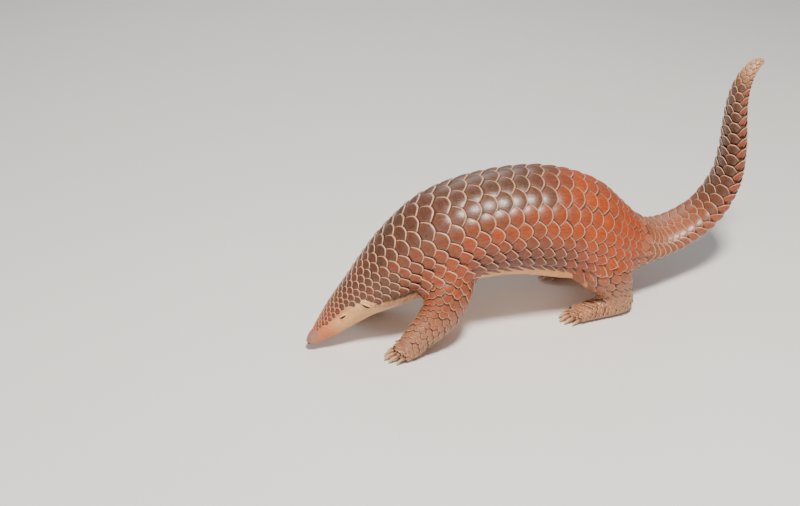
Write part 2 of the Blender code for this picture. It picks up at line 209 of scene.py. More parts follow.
MOUTH_END = (0.026, 121)
MOUTH_DEEP = 0.9 * MM
MOUTH_WIDTH = 0.45 * MM
FOLDS = ((3.6, 0.30), (1.7, 0.16), (0.8, 0.07))

# The claws, as in the solids.
TOE_SPREAD = 0.0069
TOE_SIZES = (0.62, 0.88, 1.00, 0.92, 0.68)
TOE_LENGTH = 0.010
TOE_FAN = math.radians(4)
TOE_SET_BACK = 0.0016
TOE_RADIUS = 0.0046
TOE_SCALE_STEP = 1.9 * MM
TOE_ROW_TURN = 0.52
TOE_RUN_UP = 11.0 * MM
CLAWS = (
    ("foreclaw", (0.102, 0.061, 0.0062), FAR_FORE_STEP, 0.019),
    ("hindclaw", (0.356, 0.058, 0.0058), FAR_HIND_STEP, 0.020),
)
CLAW_HALF_HEIGHT = 0.0034
CLAW_HALF_WIDTH = 0.0025
CLAW_DROP = math.radians(34)
CLAW_IN_TOE = 0.0035
CLAW_LIFT = 0.0012
CLAW_SHARE = 0.90
CLAW_RINGS = 22
CLAW_SIDES = 24

# Pale points along the edge of the throat's bare skin, by x from the nose.
FRINGE_START = 0.080
FRINGE_END = 0.150
FRINGE_STEP = 4.6 * MM

SKIN_TONES = ("red", "grey", "dark", "pale")

# Base colours. Most are pairs that a noise moves between.
HORN_BROWN = ((0.105, 0.034, 0.015), (0.180, 0.066, 0.032))
HORN_RUST = ((0.270, 0.034, 0.005), (0.430, 0.074, 0.014))
# Dark horn, also used as painted shade on the lower flanks and on the upright tail's back.
HORN_DARK_AND_SHADE = ((0.055, 0.024, 0.013), (0.105, 0.050, 0.032))
HORN_DUSTY = ((0.40, 0.18, 0.08), (0.62, 0.35, 0.20))
HORN_ROOT = (0.240, 0.120, 0.075)
# The pale rim colour is partly worn horn and partly a painted highlight along the scales' edges.
HORN_RIM = (0.600, 0.345, 0.215)
# Painted shade: the dark line just under the edge of each covering scale.
HORN_PAINTED_SHADE = (0.050, 0.022, 0.014)
SKIN_TAN = ((0.66, 0.295, 0.10), (0.78, 0.41, 0.17))
SKIN_RUST = ((0.48, 0.100, 0.030), (0.68, 0.235, 0.095))
# Paler skin, also used as a painted highlight on the cheeks, lid rims and ear folds.
SKIN_PALE_AND_HIGHLIGHT = ((0.76, 0.45, 0.22), (0.86, 0.59, 0.34))
SKIN_PAD = ((0.24, 0.105, 0.075), (0.42, 0.215, 0.155))
SKIN_DUSTY = ((0.34, 0.145, 0.080), (0.56, 0.30, 0.19))
SKIN_PIT = (0.36, 0.16, 0.09)
# Painted shade for the skin under the scales and in openings and creases.
SKIN_PAINTED_SHADE = (0.030, 0.014, 0.010)
CLAW_BASE = ((0.300, 0.125, 0.050), (0.480, 0.230, 0.105))
CLAW_TIP = ((0.520, 0.290, 0.150), (0.700, 0.460, 0.280))
CLAW_GRIME = (0.160, 0.080, 0.045)
CLAW_ROOT = (0.150, 0.065, 0.035)
EYE_WHITE = ((0.060, 0.030, 0.020), (0.110, 0.060, 0.042))
EYE_IRIS = ((0.022, 0.009, 0.005), (0.060, 0.026, 0.012))
EYE_PUPIL = (0.003, 0.003, 0.003)
FLOOR_GREYS = ((0.76, 0.75, 0.73), (0.80, 0.79, 0.77))

FLOOR_HALF = 40.0
SURROUND = (0.98, 0.98, 1.0)
SURROUND_STRENGTH = 0.30
# Lamps: name, place, size in metres, watts, colour.
LAMPS = (
    ("key", (-0.33, -0.98, 2.28), 0.40, 105.0, (1.0, 0.94, 0.86)),
    ("fill", (-1.70, -1.30, 1.10), 1.40, 7.0, (0.95, 0.97, 1.0)),
    ("back", (0.20, 1.90, 1.50), 1.20, 11.0, (1.0, 0.98, 0.95)),
)
LAMP_AIM = (0.0, 0.0, 0.1)

CAMERA_AZIMUTH = -21.09
CAMERA_ELEVATION = 28.0
CAMERA_DISTANCE = 1.66
CAMERA_FIELD = 40.0
CAMERA_TARGET = (-0.1233, 0.206, 0.0)

SIDES = ((-1, "left"), (1, "right"))
# Pieces of the coat: name, first and last x from the nose, faces across a scale, slot.
COAT_PARTS = (
    ("scales_head", 0.0, 0.09, 12, "face_skin"),
    ("scales_neck", 0.09, 0.17, 16, "back_scale"),
    ("scales_shoulders", 0.17, 0.26, 18, "back_scale"),
    ("scales_back", 0.26, 0.35, 18, "back_scale"),
    ("scales_rump", 0.35, 1.0, 18, "back_scale"),
)
# Pieces of the legs' coat: name, stations, step of the far leg, reach round it, angle of its outer side.
LIMBS = (
    ("scales_foreleg_", FORELEG, FAR_FORE_STEP, 2.55, None),
    ("scales_hindleg_", HIND_LEG, FAR_HIND_STEP, 2.15, None),
    ("scales_hindfoot_", HIND_SOLE, FAR_HIND_STEP, 1.75, 0.0),
)
LEG_COAT_START = 0.004
LEG_COAT_LOW = 0.0035
FLESH = ["head", "neck", "trunk", "tail_base", "tail_middle", "tail_end", "ear_left", "ear_right"]
FLESH += [kind + word for _, word in SIDES for kind in ("foreleg_", "forefoot_", "hindleg_", "hindfoot_")]


def smoothstep(low, high, value):
    """0 below low, 1 above high, and a smooth curve between."""
    share = np.clip((value - low) / (high - low), 0.0, 1.0)
    return share * share * (3.0 - 2.0 * share)


def fade(low, high, value):
    """1 below low, 0 above high, and a smooth curve between."""
    return 1 - smoothstep(low, high, value)


def catmull_rom(rows, t):
    """Catmull-Rom interpolation of rows of numbers at each t, in rows from the first."""
    rows = np.asarray(rows, float)
    last = len(rows) - 1
    index = np.minimum(t.astype(int), last - 1)
    f = (t - index)[:, None]
    a = rows[np.maximum(index - 1, 0)]
    b = rows[index]
    c = rows[index + 1]
    d = rows[np.minimum(index + 2, last)]
    return 0.5 * (2 * b + (c - a) * f + (2 * a - 5 * b + 4 * c - d) * f**2 + (3 * b - a - 3 * c + d) * f**3)


def unit(vectors):
    """Each vector at length 1."""
    return vectors / np.maximum(np.linalg.norm(vectors, axis=-1, keepdims=True), 1e-12)


class Tube:
    """A surface swept along a line: its rings are ellipses. A place on it is an arc length and an angle."""

    PER_STATION = 24

    def __init__(self, centres, radii, belly=False):
        count = (len(centres) - 1) * self.PER_STATION + 1
        t = np.linspace(0, len(centres) - 1, count)
        line = catmull_rom(centres, t)
        radii = catmull_rom(radii, t)
        along = unit(np.gradient(line, axis=0))
        across = np.tile([0.0, 1.0, 0.0], (count, 1))
        up = unit(np.cross(along, across)) if belly else unit(np.cross(across, along))
        across = unit(np.cross(along, up)) if not belly else across
        steps = np.linalg.norm(np.diff(line, axis=0), axis=1)
        self.arc = np.concatenate([[0.0], np.cumsum(steps)])
        self.length = self.arc[-1]
        self.stations = self.arc[:: self.PER_STATION]
        self.table = np.hstack([line, up, across, radii])
        self.belly = belly
        self.rise_table = None
        squash = float(np.mean(radii[:, 0] / radii[:, 1])) if not belly else 1.0
        self.set_squash(squash)

    def set_squash(self, squash):
        """Sets the ratio of height to width by which distances round a ring are turned into angles."""
        self.turn_angles = np.linspace(-3 * math.pi, 3 * math.pi, 2161)
        pace = np.sqrt(np.cos(self.turn_angles) ** 2 + (squash * np.sin(self.turn_angles)) ** 2)
        steps = 0.5 * (pace[1:] + pace[:-1]) * np.diff(self.turn_angles)
        self.turn_arcs = np.concatenate([[0.0], np.cumsum(steps)])
        self.turn_arcs -= np.interp(0.0, self.turn_angles, self.turn_arcs)

    def sample(self, arc):
        """Centre, up, across and the two radii at each arc length."""
        columns = [np.interp(arc, self.arc, column) for column in self.table.T]
        rows = np.stack(columns, axis=-1)
        return rows[..., 0:3], rows[..., 3:6], rows[..., 6:9], rows[..., 9], rows[..., 10]

    def point(self, arc, angle):
        """The point of the surface at each arc length and angle."""
        centre, up, across, height, width = self.sample(arc)
        lift = np.cos(angle)
        if self.belly:
            flat = BELLY_FLATNESS + BELLY_CORNER * np.abs(np.sin(angle))
            lift = np.where(lift < 0, lift * flat, lift)
        return centre + up * (height * lift)[..., None] + across * (width * np.sin(angle))[..., None]

    def normal(self, arc, angle):
        """The outward direction of the surface."""
        step = 0.0015
        arc = np.clip(arc, 2 * step, self.length - 2 * step)
        along = self.point(arc + step, angle) - self.point(arc - step, angle)
        round_it = self.point(arc, angle + 0.03) - self.point(arc, angle - 0.03)
        normal = unit(np.cross(round_it, along))
        outward = self.point(arc, angle) - self.sample(arc)[0]
        return normal * np.sign(np.sum(normal * outward, axis=-1))[..., None]

    def turned(self, angle, sideways, width):
        """The angle reached from an angle by going a distance round a ring of this half width."""
        start = np.interp(angle, self.turn_angles, self.turn_arcs)
        return np.interp(start + sideways / width, self.turn_arcs, self.turn_angles)

    def fit_to(self, tree, most):
        """Measures how far the real surface lies outside this one, up to most, and keeps it as a table."""
        rows = int(self.length / 0.004) + 2
        columns = 72
        arcs = np.linspace(0.0, self.length, rows)
        angles = np.linspace(-math.pi, math.pi, columns, endpoint=False)
        grid_arc, grid_angle = np.meshgrid(arcs, angles, indexing="ij")
        points = self.point(grid_arc, grid_angle)
        normals = self.normal(grid_arc, grid_angle)
        inside = 0.004
        rise = np.zeros(grid_arc.shape)
        for row in range(rows):
            for column in range(columns):
                start = Vector(points[row, column] - normals[row, column] * inside)
                hit = tree.ray_cast(start, Vector(normals[row, column]), most + inside)
                rise[row, column] = hit[3] - inside if hit[0] is not None else most
        rise[-2:] = rise[-3]
        if self.belly:
            rise[:2] = rise[2]
        for _ in range(3):
            rise = (np.roll(rise, 1, 1) + 2 * rise + np.roll(rise, -1, 1)) / 4
            padded = np.vstack([rise[:1], rise, rise[-1:]])
            rise = (padded[:-2] + 2 * padded[1:-1] + padded[2:]) / 4
        self.rise_table = rise

    def rise(self, arc, angle):
        """How far the real surface lies outside this one."""
        rows, columns = self.rise_table.shape
        u = np.clip(arc / self.length, 0.0, 1.0) * (rows - 1.001)
        v = (angle / (2 * math.pi) + 0.5) % 1.0 * columns
        i = u.astype(int)
        j = v.astype(int) % columns
        fu = u - i
        fv = v - np.floor(v)
        table = self.rise_table
        low = table[i, j] * (1 - fv) + table[i, (j + 1) % columns] * fv
        high = table[i + 1, j] * (1 - fv) + table[i + 1, (j + 1) % columns] * fv
        return low * (1 - fu) + high * fu


def spine_tube():
    """The tube of head, trunk and tail."""
    centres = [(x - MIDDLE_X, 0.0, z) for _, x, z, _, _ in SPINE]
    radii = [(height, width) for _, _, _, height, width in SPINE]
    return Tube(centres, radii, belly=True)


def stride(height):
    """How much of a leg's step a point at this height takes."""
    return 1.0 - STRIDE_LOST * min(max((height - STRIDE_LOW) / (STRIDE_HIGH - STRIDE_LOW), 0.0), 1.0)


def leg_tube(joints, side, step):
    """The tube of one leg or sole. Angle 0 is its front, or its top for a sole."""
    centres = [(x + step * stride(z) - MIDDLE_X, side * y, z) for x, y, z, _, _ in joints]
    radii = [(depth, width) for _, _, _, depth, width in joints]
    return Tube(centres, radii)


def mesh_object(name, vertices, faces, smooth=True):
    """A new object from arrays of points and of faces with equal numbers of corners."""
    mesh = bpy.data.meshes.new(name)
    faces = np.asarray(faces, np.int32)
    corners = faces.shape[1]
    mesh.vertices.add(len(vertices))
    mesh.vertices.foreach_set("co", np.asarray(vertices, np.float32).ravel())
    mesh.loops.add(faces.size)
    mesh.loops.foreach_set("vertex_index", faces.ravel())
    mesh.polygons.add(len(faces))
    mesh.polygons.foreach_set("loop_start", np.arange(0, faces.size, corners, dtype=np.int32))
    mesh.polygons.foreach_set("loop_total", np.full(len(faces), corners, np.int32))
    mesh.polygons.foreach_set("use_smooth", np.full(len(faces), smooth, bool))
    mesh.update(calc_edges=True)
    mesh.validate()
    obj = bpy.data.objects.new(name, mesh)
    bpy.context.scene.collection.objects.link(obj)
    return obj


def measure(items, attribute, columns, kind=np.float32):
    """One attribute of all items of a mesh, as an array of this many columns."""
    values = np.empty(len(items) * columns, kind)
    items.foreach_get(attribute, values)
    return values.reshape(-1, columns)


def points_of(mesh):
    """The points of a mesh as an array."""
    return measure(mesh.vertices, "co", 3).astype(float)


def normals_of(mesh):
    """The point normals of a mesh as an array."""
    return measure(mesh.vertex_normals, "vector", 3).astype(float)


def set_points(mesh, points):
    """Moves the points of a mesh."""
    mesh.vertices.foreach_set("co", points.astype(np.float32).ravel())
    mesh.update()


def store(mesh, name, values):
    """Keeps four numbers at each point of a mesh, for its material."""
    attribute = mesh.attributes.new(name, "FLOAT_COLOR", "POINT")
    attribute.data.foreach_set("color", values.astype(np.float32).ravel())


def apply_modifiers(obj):
    """Replaces the object's mesh by the one that its modifiers make."""
    graph = bpy.context.evaluated_depsgraph_get()
    made = bpy.data.meshes.new_from_object(obj.evaluated_get(graph))
    obj.modifiers.clear()
    old = obj.data
    obj.data = made
    bpy.data.meshes.remove(old)


def socket_plug(side):
    """A flat cap that fills one eye socket before the lids are shaped."""
    made = bmesh.new()
    bmesh.ops.create_icosphere(made, subdivisions=4, radius=1.0)
    points = np.array([vertex.co for vertex in made.verts])
    faces = np.array([[vertex.index for vertex in face.verts] for face in made.faces])
    made.free()
    spot = Spot(EYE, side)
    depth = np.where(points[:, 2] > 0, PLUG_OUT, PLUG_IN) * points[:, 2]
    along = np.outer(points[:, 0] * PLUG_RADIUS, spot.along) + np.outer(points[:, 1] * PLUG_RADIUS, spot.up)
    if np.dot(np.cross(spot.along, spot.up), spot.out) < 0:
        faces = faces[:, ::-1]
    return spot.centre + along + np.outer(depth, spot.out), faces


def whole_flesh():
    """The outer surface of all flesh solids in one closed mesh."""
    vertices = []
    faces = []
    for name in FLESH:
        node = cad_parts[name].data
        node.calc_loop_triangles()
        triangles = measure(node.loop_triangles, "vertices", 3, np.int32)
        points = points_of(node)
        keys, index = np.unique(np.round(points * 1e6).astype(int), axis=0, return_inverse=True)
        corner_points = keys / 1e6
        triangles = index.reshape(-1)[triangles]
        facing = np.cross(
            corner_points[triangles[:, 1]] - corner_points[triangles[:, 0]],
            corner_points[triangles[:, 2]] - corner_points[triangles[:, 0]],
        )
        outward = np.zeros_like(corner_points)
        for corner in range(3):
            np.add.at(outward, triangles[:, corner], facing)
        vertices.append(corner_points + unit(outward) * 0.35 * MM)
        faces.append(triangles + sum(len(v) for v in vertices[:-1]))
    for side, _ in SIDES:
        points, triangles = socket_plug(side)
        faces.append(triangles + sum(len(v) for v in vertices))
        vertices.append(points)
    obj = mesh_object("skin", np.vstack(vertices), np.vstack(faces))
    remesh = obj.modifiers.new("Whole", "REMESH")
    remesh.mode = "VOXEL"
    remesh.voxel_size = SKIN_VOXEL
    smooth = obj.modifiers.new("Even", "SMOOTH")
    smooth.factor = 0.5
    smooth.iterations = 4
    apply_modifiers(obj)
    return obj


spine = spine_tube()


def station_arc(name):
    """The arc length of a named station of the spine."""
    return spine.stations[STATION[name]]


def nose_x(points):
    """Distances of points from the nose, along X."""
    return points[..., 0] + MIDDLE_X


def along_spine(values, arc):
    """A value given at named stations, read at arc lengths of the spine."""
    places = [station_arc(name) for name in values]
    return np.interp(arc, places, list(values.values()))


def spine_x(arc):
    """Distance from the nose, along X, of the spine's centre."""
    return nose_x(spine.sample(arc)[0])


def spine_place(points):
    """Arc length, angle and relative distance from the spine's centre line for each point."""
    table = spine.table[:: 4]
    arcs = spine.arc[:: 4]
    nearest = np.empty(len(points), int)
    for start in range(0, len(points), 20000):
        part = points[start : start + 20000]
        apart = (part[:, None, 0] - table[None, :, 0]) ** 2 + (part[:, None, 2] - table[None, :, 2]) ** 2
        nearest[start : start + 20000] = np.argmin(apart, axis=1)
    rows = table[nearest]
    offset = points - rows[:, 0:3]
    height = np.sum(offset * rows[:, 3:6], axis=1)
    width = offset[:, 1]
    angle = np.arctan2(width / rows[:, 10], height / rows[:, 9])
    reach = np.hypot(width / rows[:, 10], height / rows[:, 9])
    return arcs[nearest], angle, reach


class Spot:
    """A place on the side of the head with axes of its own: to the rear, up over the head, and out."""

    def __init__(self, place, side, tilt=0.0, sunk=0.0):
        x, y, z = place
        centre = np.array([x - MIDDLE_X, side * y, z])
        arc, angle, _ = spine_place(centre[None])
        self.out = spine.normal(arc, angle)[0]
        rear = (spine.point(arc + 2 * MM, angle) - spine.point(arc - 2 * MM, angle))[0]
        rear = unit(rear - self.out * (rear @ self.out))
        up = np.cross(self.out, rear)
        up = up * np.sign(up[2])
        self.along = rear * math.cos(tilt) + up * math.sin(tilt)
        self.up = up * math.cos(tilt) - rear * math.sin(tilt)
        self.centre = centre - self.out * sunk

    def local(self, points):
        """Distances of points along the three axes."""
        offset = points - self.centre
        return offset @ self.along, offset @ self.up, offset @ self.out


def coat_edge(x):
    """The lowest angle of the scales, in radians, at a distance from the nose."""
    return np.radians(np.interp(x, [row[0] for row in COAT_EDGE], [row[1] for row in COAT_EDGE]))


def plate_grid(across, along):
    """The faces of one closed plate: its top, its underside and its rim."""
    width = across + 1
    layer = width * (along + 1)

    def at(row, column, under):
        return row * width + column + (layer if under else 0)

    faces = []
    for row in range(along):
        for column in range(across):
            quad = [(row, column), (row, column + 1), (row + 1, column + 1), (row + 1, column)]
            faces.append([at(r, c, False) for r, c in quad])
            faces.append([at(r, c, True) for r, c in reversed(quad)])
    border = [(0, column) for column in range(across)]
    border += [(row, across) for row in range(along)]
    border += [(along, column) for column in range(across, 0, -1)]
    border += [(row, 0) for row in range(along, 0, -1)]
    for first, second in zip(border, border[1:] + border[:1]):
        faces.append([at(*second, False), at(*first, False), at(*first, True), at(*second, True)])
    return np.array(faces)


def outline(side, sharp):
    """How far a scale's edge draws back at a share of its half width. Sharp 0 is round, 1 is pointed."""
    corner = np.clip((side - SHOULDER) / (1 - SHOULDER), 0, 1) ** 1.15
    round_edge = 0.45 * (1 - (1 - side**2.3) ** (1 / 2.3)) + 0.55 * corner
    return round_edge * (1 - sharp) + side**1.25 * sharp


def full(rows):
    """Every measure as an array with one number per scale."""
    return {key: np.broadcast_to(np.asarray(value, float), len(rows["tip"])) for key, value in rows.items()}


def plates(name, tube, rows, across, along):
    """One joined mesh of scales. Rows holds each measure, as one number per scale or one for all of them."""
    rows = full(rows)
    count = len(rows["tip"])
    a = np.linspace(-1.0, 1.0, across + 1)
    a = np.sign(a) * (1 - (1 - np.abs(a)) ** 1.25)
    b = 1 - (1 - np.linspace(0.0, 1.0, along + 1)) ** 1.35
    b, a = np.meshgrid(b, a, indexing="ij")

    def per(key):
        return rows[key][:, None, None]

    side = np.abs(a)[None]
    edge = per("drop") * outline(side, per("sharp"))
    ahead = (1 - b) * per("length") + b * edge
    narrow = 0.62 + 0.38 * smoothstep(0.0, 0.55, b)
    sideways = a * per("half_width") * narrow
    arc = per("tip") - ahead
    share = ahead / per("length")
    middle = per("angle") + (per("root_angle") - per("angle")) * share
    width = tube.sample(np.clip(arc, 0, tube.length))[4]
    angle = tube.turned(middle, sideways, width)

    beside = outline(np.clip(1 / HALF_WIDTH - side, 0, 1), per("sharp"))
    cover = np.minimum(1.0, 0.5 + 0.5 * per("drop") / per("step") * beside)
    to_edge = np.minimum(ahead - edge, (1 - side) * per("half_width") * 1.2)
    rim = 1 - np.clip(to_edge / per("rim"), 0.0, 1.0)
    shown = ahead / (2 * per("step"))
    bump = np.clip(shown * (1 - shown) * 4, -1.0, 1.0)
    height = per("lift") - per("slope") * ahead
    height = height + per("dome") * (1 - side**2) + per("bulge") * bump
    height = height + per("flare") * np.clip(1 - shown, 0, 1) ** 2
    height = height - 0.45 * per("thick") * rim**3
    top = surface(tube, arc, angle, height)
    under = surface(tube, arc, angle, height - per("thick") * (1 - 0.5 * rim))
    vertices = np.stack([top, under], axis=1).reshape(-1, 3)
    layer = (across + 1) * (along + 1)
    faces = plate_grid(across, along)[None] + (np.arange(count) * 2 * layer)[:, None, None]
    obj = mesh_object(name, vertices, faces.reshape(-1, 4))

    def keep(attribute, values):
        values = np.stack([np.broadcast_to(value, shown.shape) for value in values], axis=-1)
        store(obj.data, attribute, np.stack([values, values], axis=1))

    keep("scale_shape", (rim, np.clip(shown, 0, 1), a * 0.5 + 0.5, per("seed")))
    # The last tint number is the distance from the covering scale's edge, which places the painted shade
    # line under it.
    keep("scale_tint", (per("red"), per("dark"), per("pale"), np.clip((cover - shown) * 2, 0, 1)))
    u = per("patch_u") + per("patch_wide") * (b - 0.5)
    v = per("patch_v") + per("patch_high") * (a * 0.5)
    uv = np.stack([u, v], axis=-1)
    uv = np.stack([uv, uv], axis=1).reshape(-1, 2)
    corners = measure(obj.data.loops, "vertex_index", 1, np.int32).ravel()
    layer = obj.data.uv_layers.new(name="OFBake")
    layer.data.foreach_set("uv", uv[corners].astype(np.float32).ravel())
    return obj


def surface(tube, arc, angle, height):
    """Points at a height over the real surface that a tube is fitted to."""
    lift = tube.rise(arc, angle) + height
    return tube.point(arc, angle) + tube.normal(arc, angle) * lift[..., None]


def row_angle(row, x):
    """The angle of a row of the trunk's lattice at a distance from the nose."""
    number = np.abs(row)
    trunk = np.interp(number, range(9), TRUNK_ROWS)
    head = np.interp(number, range(9), HEAD_ROWS)
    share = smoothstep(HEAD_ROWS_END, TRUNK_ROWS_START, x)
    return np.radians(head + (trunk - head) * share) * np.sign(row)


def ring_arcs(start, end, step_at):
    """Arc lengths of the rings of scales from start to end, each a step after the last."""
    arcs = [start]
    while arcs[-1] < end:
        arcs.append(arcs[-1] + step_at(arcs[-1]))
    return np.array(arcs)


def body_step(arc):
    """Half the distance between two rings of the body's scales, in metres."""
    return along_spine(BODY_STEP, arc) * MM


def tail_step(arc):
    """Half the distance between two rings of the tail's scales, in metres."""
    return along_spine(TAIL_STEP, arc) * MM


def lattice(rings, rows):
    """The ring and the row of each scale. Every second place is left out, so that rings are staggered."""
    ring, row = np.meshgrid(np.arange(len(rings)), rows, indexing="ij")
    keep = (ring + row) % 2 == 0
    return ring[keep], row[keep]


def add_patches(rows, ring, row, rings, count):
    """Gives each scale its own place on a map of rings against rows."""
    rows["patch_u"] = (ring + 1.0) / (rings + 1.0)
    rows["patch_v"] = (row + 0.5) / count
    rows["patch_wide"] = 2 * PATCH_SHARE / (rings + 1.0)
    rows["patch_high"] = PATCH_SHARE / count


def body_rows():
    """The measures of every scale from the nose to the tail's root."""
    random = np.random.default_rng(SEED)
    start = COAT_START
    end = station_arc("tail_root") + 0.002
    rings = ring_arcs(start, end, body_step)
    ring, row = lattice(rings, np.arange(BODY_ROWS) - BODY_ROWS // 2)
    tip = rings[ring]
    step = body_step(tip)
    x = spine_x(tip)
    angle = row_angle(row, x)
    inside = np.abs(angle) <= coat_edge(x - 0.4 * step)
    rise = spine.rise(tip - step, angle)
    inside &= rise < 0.012
    ring, row, tip, step, x, angle = (values[inside] for values in (ring, row, tip, step, x, angle))
    length = 3.7 * step
    gap = np.abs(row_angle(np.abs(row) + 0.5, x) - row_angle(np.abs(row) - 0.5, x))
    _, _, _, tall, wide = spine.sample(tip - step)
    across = gap * 0.5 * (tall + wide)
    low = smoothstep(0.95, 1.9, np.abs(angle)) * smoothstep(0.09, 0.14, x)
    size = np.clip(step / 0.0088, 0.15, 1.0)
    jitter = random.normal(size=(4, len(tip)))
    made = {
        "tip": tip + 0.05 * step * jitter[0],
        "angle": angle + 0.02 * gap * jitter[1],
        "root_angle": row_angle(row, spine_x(tip - length)),
        "length": length,
        "step": step,
        "half_width": across * (HALF_WIDTH + 0.02 * jitter[2]) * (1 + 0.16 * low),
        "drop": step * (1.25 + 0.55 * low),
        "sharp": 0.12 + 0.75 * low,
        "lift": (0.1 - 1.3 * size + 0.6 * low) * MM + 0.12 * MM * jitter[3],
        "slope": 0.150 + 0.015 * size,
        "dome": 1.75 * MM * size**1.1 * (1 + 0.2 * low),
        "bulge": 1.05 * MM * size,
        "flare": (0.1 + 2.2 * low) * MM * size,
        "thick": (0.35 + 0.55 * size) * MM,
        "rim": (0.90 + 1.75 * size) * MM,
        "seed": random.random(len(tip)),
    }
    made.update(body_tints(x, np.abs(angle)))
    add_patches(made, ring, row + BODY_ROWS // 2, len(rings), BODY_ROWS)
    made["x"] = x
    return made


def body_tints(x, angle):
    """How red, how dark and how pale the horn is at a distance from the nose and an angle from the back."""
    red = 0.25 + 0.60 * smoothstep(0.75, 1.75, angle) * smoothstep(0.10, 0.2, x)
    red = np.maximum(red, 0.95 * smoothstep(0.295, 0.370, x + 0.035 * angle))
    red = np.maximum(red, 0.85 * fade(0.025, 0.065, x))
    dark = fade(0.50, 1.25, angle) * smoothstep(0.05, 0.12, x) * fade(0.290, 0.370, x)
    dark = np.maximum(dark, 0.65 * smoothstep(0.03, 0.06, x) * fade(0.10, 0.14, x))
    # Painted shade: the lower flanks between shoulders and hips are darkened as if lit from above.
    flank = smoothstep(1.2, 1.75, angle) * smoothstep(0.16, 0.24, x) * fade(0.33, 0.38, x)
    dark = np.maximum(dark, 0.75 * flank)
    pale = smoothstep(0.450, 0.480, x) * 0.45
    return {"red": red, "dark": dark, "pale": pale}


def tail_rows():
    """The measures of the tail's scales: a middle row, one each side, the margins, and three rows below."""
    random = np.random.default_rng(SEED + 1)
    start = station_arc("tail_root") + 0.008
    rings = ring_arcs(start, spine.length - 0.005, tail_step)
    ring, row = lattice(rings, np.arange(-3, 5))
    tip = rings[ring]
    step = tail_step(tip)
    _, _, _, _, wide = spine.sample(tip - step)
    gap = quarter_turn(spine) * wide / 2
    angle = spine.turned(0.0, row * gap, wide)
    margin = (np.abs(row) == 2).astype(float)
    below = (np.abs(row) > 2).astype(float)
    size = np.clip(step / 0.0080, 0.2, 1.0)
    jitter = random.normal(size=(4, len(tip)))
    base = fade(station_arc("tail_base"), station_arc("tail_low") + 0.02, tip)
    end = smoothstep(station_arc("tail_hook"), spine.length, tip)
    rise = smoothstep(station_arc("tail_low"), station_arc("tail_rise"), tip)
    made = {
        "tip": tip + 0.04 * step * jitter[0] + 0.45 * step * margin * (1 - end),
        "angle": angle + 0.015 * jitter[1],
        "root_angle": angle,
        "length": 3.6 * step * (1 + 0.25 * base) * (1 - 0.15 * end),
        "step": step,
        "half_width": gap * (HALF_WIDTH + 0.07 * base) * (1 - 0.04 * margin),
        "drop": step * (1.30 + 0.75 * margin + 0.7 * base),
        "sharp": 0.10 + 0.80 * margin * (1 - 0.7 * end) + 0.10 * below,
        "lift": (-0.9 * size + 0.60 * base + 0.3 * end) * MM + 0.10 * MM * jitter[3],
        "slope": 0.165 + 0.09 * base,
        "dome": (1.15 * size + 0.5 * base) * MM,
        "bulge": 0.85 * MM * size,
        "flare": (0.3 + 3.0 * margin + 1.4 * base) * MM * size * (1 - 0.8 * end),
        "thick": (0.35 + 0.5 * size) * MM,
        "rim": (0.7 + 1.0 * size + 0.7 * base) * MM,
        "seed": random.random(len(tip)),
        "red": 0.55 + 0.35 * rise * (margin + 0.5 * below),
        # Painted shade: on the rising and upright tail the back, away from the margins, is darkened.
        "dark": np.maximum(rise * (1 - 0.85 * margin) * (1 - 0.5 * below), 0.25 * base),
        "pale": 0.16 * (1 - rise) + 0.05,
    }
    white = smoothstep(station_arc("tail_hook") - 0.012, station_arc("tail_curl"), tip)
    made["dark"] = made["dark"] * (1 - white)
    made["pale"] = made["pale"] + (1.4 - made["pale"]) * white
    add_patches(made, ring, row + 3, len(rings), TAIL_ROWS)
    return made


def quarter_turn(tube):
    """The length of a quarter of a ring, for a half width of one."""
    return float(np.interp(math.pi / 2, tube.turn_angles, tube.turn_arcs))


def leg_rows(tube, side, seed, reach, outer):
    """The measures of a leg's scales. They cover its outer side as far as reach, an angle each way."""
    random = np.random.default_rng(seed)
    outer = side * math.pi / 2 if outer is None else outer

    def gap_at(arc):
        return quarter_turn(tube) * 4 * float(tube.sample(np.array(arc))[4]) / LEG_ROWS

    rings = ring_arcs(LEG_COAT_START, tube.length - 0.002, lambda arc: 0.54 * gap_at(arc))
    half = LEG_ROWS // 2
    ring, row = lattice(rings, np.arange(-half, half))
    tip = rings[ring]
    wide = tube.sample(tip)[4]
    gap = quarter_turn(tube) * 4 * wide / LEG_ROWS
    step = 0.54 * gap
    angle = tube.turned(outer, row * gap, wide)
    point = tube.point(tip, angle)
    most = 0.0085 + 0.0060 * fade(0.020, 0.035, point[:, 2])
    inside = (np.abs(angle - outer) <= reach) & (tube.rise(tip - step, angle) < most)
    inside &= point[:, 2] > LEG_COAT_LOW
    ring, row, tip, gap, step, angle = (values[inside] for values in (ring, row, tip, gap, step, angle))
    size = np.clip(step / 0.0088, 0.15, 1.0)
    jitter = random.normal(size=(4, len(tip)))
    height = tube.point(tip, angle)[:, 2]
    high = smoothstep(0.02, 0.075, height)
    low = fade(0.010, 0.028, height)
    made = {
        "tip": tip + 0.12 * step * jitter[0],
        "angle": angle + 0.03 * jitter[1],
        "root_angle": angle,
        "length": 3.4 * step,
        "step": step,
        "half_width": gap * (HALF_WIDTH + 0.04 * jitter[2]),
        "drop": step * 1.45,
        "sharp": 0.30 + 0.12 * np.clip(jitter[2], -1, 1),
        "lift": (0.15 - 0.9 * size + 0.7 * low) * MM + 0.10 * MM * jitter[3],
        "slope": 0.195,
        "dome": 1.3 * MM * size,
        "bulge": 0.8 * MM * size,
        "flare": 0.8 * MM * size,
        "thick": (0.35 + 0.55 * size) * MM,
        "rim": (0.60 + 1.2 * size) * MM,
        "seed": random.random(len(tip)),
        "red": 0.35 + 0.40 * high,
        "dark": 0.10 + 0.15 * high,
        "pale": 0.55 - 0.50 * high,
    }
    add_patches(made, ring, row + half, len(rings), LEG_ROWS)
    return made


